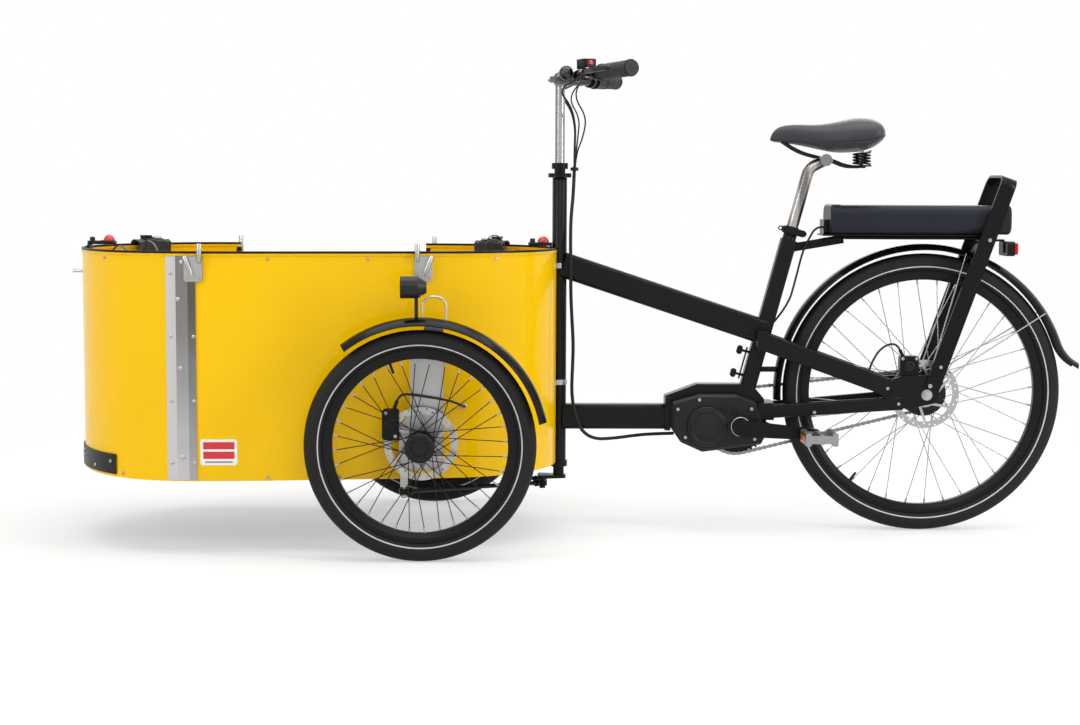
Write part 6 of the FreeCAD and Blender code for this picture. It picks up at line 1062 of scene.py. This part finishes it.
def frame_bolts(bright):
    """Bolt heads on hoop, dropouts, stays, strut and guard stays, the same on both sides."""
    # Station from the rear axle, height, distance from the middle and radius
    bolts = ((0.006, 0.348, 0.0760, 0.0055), (0.137, 0.686, 0.0760, 0.0050), (0.030, 0.392, 0.0760, 0.0045),
             (-0.259, 0.284, 0.0565, 0.0045), (-0.092, 0.342, 0.0732, 0.0042),
             (-0.066, 0.306, 0.0732, 0.0042))
    forms = [(socket_head(radius, 0.0030), (REAR_AXLE_X + rel, side * y, z), ACROSS * side)
             for rel, z, y, radius in bolts for side in (-1.0, 1.0)]
    turned("frame_bolts", forms, bright, steps=18)


def caliper_trim(shell, bright):
    """Piston cap and two pin bolts on the outer face of each caliper."""
    cap = [(0.0125, 0.0), (0.0125, 0.0026), (0.0112, 0.0036), (0.0080, 0.0036), (0.0072, 0.0026),
           (0.0, 0.0026)]
    rear_pins = ((-0.016, 0.018), (0.016, 0.018))
    front_pins = ((-0.0105, 0.025), (0.0105, -0.025))
    rear_x, rear_z = REAR_AXLE_X - 0.040, REAR_AXLE_Z + 0.066
    front_x, front_z = FRONT_AXLE_X - 0.0655, FRONT_AXLE_Z + 0.042
    for name, body, (x, y, z), pins in (
            ("rear_caliper", "frame", (rear_x, -0.0620, rear_z), rear_pins),
            ("left_caliper", "left_corner", (front_x, -0.3795, front_z), front_pins),
            ("right_caliper", "right_corner", (front_x, 0.3795, front_z), front_pins)):
        out = ACROSS * math.copysign(1.0, y)
        turned(name + "_cap", [(cap, (x, y, z), out)], shell, body, 30)
        bolts = [(socket_head(0.0042, 0.0030), (x + dx, y, z + dz), out) for dx, dz in pins]
        turned(name + "_bolts", bolts, bright, body, 18)


def pedal_reflectors():
    """Amber reflectors let into the front and back faces of both pedals."""
    amber = amber_reflector()
    outline = rounded_outline(0.056, 0.013, 0.003)
    for (hand, side), (x, z) in zip(SIDES, ((0.55096, 0.23637), (0.21206, 0.26363))):
        forms = [(outline, 0.0018, (x + way * 0.0368, side * 0.149, z), ACROSS * way, UP, 0.0006)
                 for way in (-1.0, 1.0)]
        slabs(hand + "_pedal_reflectors", forms, amber, "pedal_" + hand)


def round_edges():
    """Small rounding of the machined and moulded edges; flat faces and bores keep their places."""
    for width, *names in (
            (0.0030, "bar_controls"), (0.0025, "rear_caliper"), (0.0022, "motor_unit"), (0.0015, "ring_lock"),
            (0.0012, "crankset"), (0.0010, "main_frame", "rear_rack", *both("knuckle")),
            (0.0008, *both("pedal")), (0.0005, "box_brackets")):
        for name in names:
            weld = nodes[name].modifiers.new("joined", "WELD")
            weld.merge_threshold = 0.00001
            rounding = nodes[name].modifiers.new("rounded", "BEVEL")
            rounding.width = width
            rounding.segments = 2
            rounding.limit_method = "ANGLE"
            rounding.angle_limit = BEVEL_ABOVE
            rounding.harden_normals = True


# Studio

WALL_LIGHT = (0.44, 0.44, 0.45)
WHITE = (1.0, 1.0, 1.0)
FLOOR_HALF = 14.0
FLOOR_GLOW = 0.46


def studio_walls():
    """White where they are seen, dimmer where they light."""
    world = bpy.data.worlds.new("studio")
    bpy.context.scene.world = world
    world.use_nodes = True
    walls = Tree(world.node_tree)
    tone = walls.mix(walls.shown(), WALL_LIGHT, WHITE)
    walls.feed(walls.tree.nodes["Background"].inputs["Color"], tone)


def studio_floor():
    """Pale floor that takes the shadows and fades to white away from the part."""
    mesh = bpy.data.meshes.new("studio_floor")
    corners = [(x * FLOOR_HALF, y * FLOOR_HALF, 0) for x, y in ((-1, -1), (1, -1), (1, 1), (-1, 1))]
    mesh.from_pydata(corners, [], [(0, 1, 2, 3)])
    floor = in_scene("studio_floor", mesh)
    pale = Paint("studio_floor", 0.1, roughness=0.9)
    pale.set(base_color=pale.mix(pale.noise(0.5), (0.90, 0.90, 0.90), (0.92, 0.92, 0.92)))
    x, y, z = pale.axes()
    away = FLOOR_GLOW + distance(x, y).ramp(1.4, 3.4) * (1.0 - FLOOR_GLOW)
    glow = pale.node("ShaderNodeEmission", {}, Color=WHITE, Strength=1.0)
    lit = Field(pale, pale.shader.outputs[0])
    faded = pale.node("ShaderNodeMixShader", {}, away * pale.shown(), lit, glow)
    pale.feed(pale.tree.nodes["Material Output"].inputs["Surface"], faded)
    mesh.materials.append(pale.material)


def softbox(name, place, aim, size, power):
    light = bpy.data.lights.new(name, "AREA")
    light.shape = "RECTANGLE"
    light.size, light.size_y = size
    light.energy = power
    lamp = in_scene(name, light)
    lamp.location = place
    lamp.rotation_euler = (Vector(aim) - Vector(place)).to_track_quat("-Z", "Y").to_euler()
    lamp.visible_camera = False


def studio_camera():
    """The photograph's view."""
    camera = bpy.data.cameras.new("camera")
    camera.sensor_width = 36.0
    camera.lens = 66.79
    eye = in_scene("camera", camera)
    eye.location = (REAR_AXLE_X - 0.9782, -4.6822, 0.8146)
    eye.rotation_euler = (math.pi / 2 - 0.0896, -0.004, -0.0169)
    bpy.context.scene.camera = eye
    bpy.context.scene.view_settings.view_transform = "Standard"


dress_solids()
plastic = satin_black("moulded_black", 0.005, 0.38, 500.0, 0.22)
zinc = bright_metal("zinc", 0.46, 0.3, 120.0, (1.0, 1.0, 0.3))
motor_black = satin_black("motor_black", 0.006, 0.36, 1200.0, 0.24)
grip_rubber = soft_rubber("grip_rubber", 0.026, 0.5)
cable_rubber = soft_rubber("cable_black", 0.010, 0.4)
red = button_red()
web = webbing()
dress(plastic, "twist_shifter", *both("hub"), *both("brake_lever"))
dress(zinc, "box_brackets", "rear_sprocket")
dress(motor_black, "motor_unit")
dress(grip_rubber, "grips")
dress(red, "front_belt_button", "rear_belt_button")
dress(web, "belts")

saddle_cover(saddle_leather())
bench_straps(web, plastic)
belt_locks(plastic)
belt_knobs(red)
belt_bundles(web, plastic, zinc)
box_fasteners(zinc)
round_edges()
pole_plate_screws(zinc)
side_label()
bar_cables(cable_rubber)
frame_cables(cable_rubber)
front_hoses(cable_rubber, zinc)
cable_tie(plastic)
grip_sleeves(grip_rubber)
bar_trim(red, plastic, zinc)
hub_trim(plastic)
motor_trim(motor_black, zinc)
frame_bolts(zinc)
caliper_trim(plastic, zinc)
pedal_reflectors()

studio_walls()
studio_floor()
softbox("top", (0.0, -0.3, 3.6), (0.0, 0.0, 0.0), (4.6, 3.0), 104.0)
softbox("front", (0.1, -4.3, 3.3), (0.0, 0.0, 0.4), (3.2, 1.0), 34.0)
softbox("nose_side", (-3.3, -2.3, 1.9), (-0.4, 0.0, 0.5), (0.4, 2.6), 34.0)
softbox("rear_side", (3.3, -1.7, 1.7), (0.2, 0.0, 0.5), (0.35, 2.4), 48.0)
softbox("back", (0.5, 3.8, 2.4), (0.0, 0.0, 0.5), (4.0, 1.6), 55.0)
studio_camera()
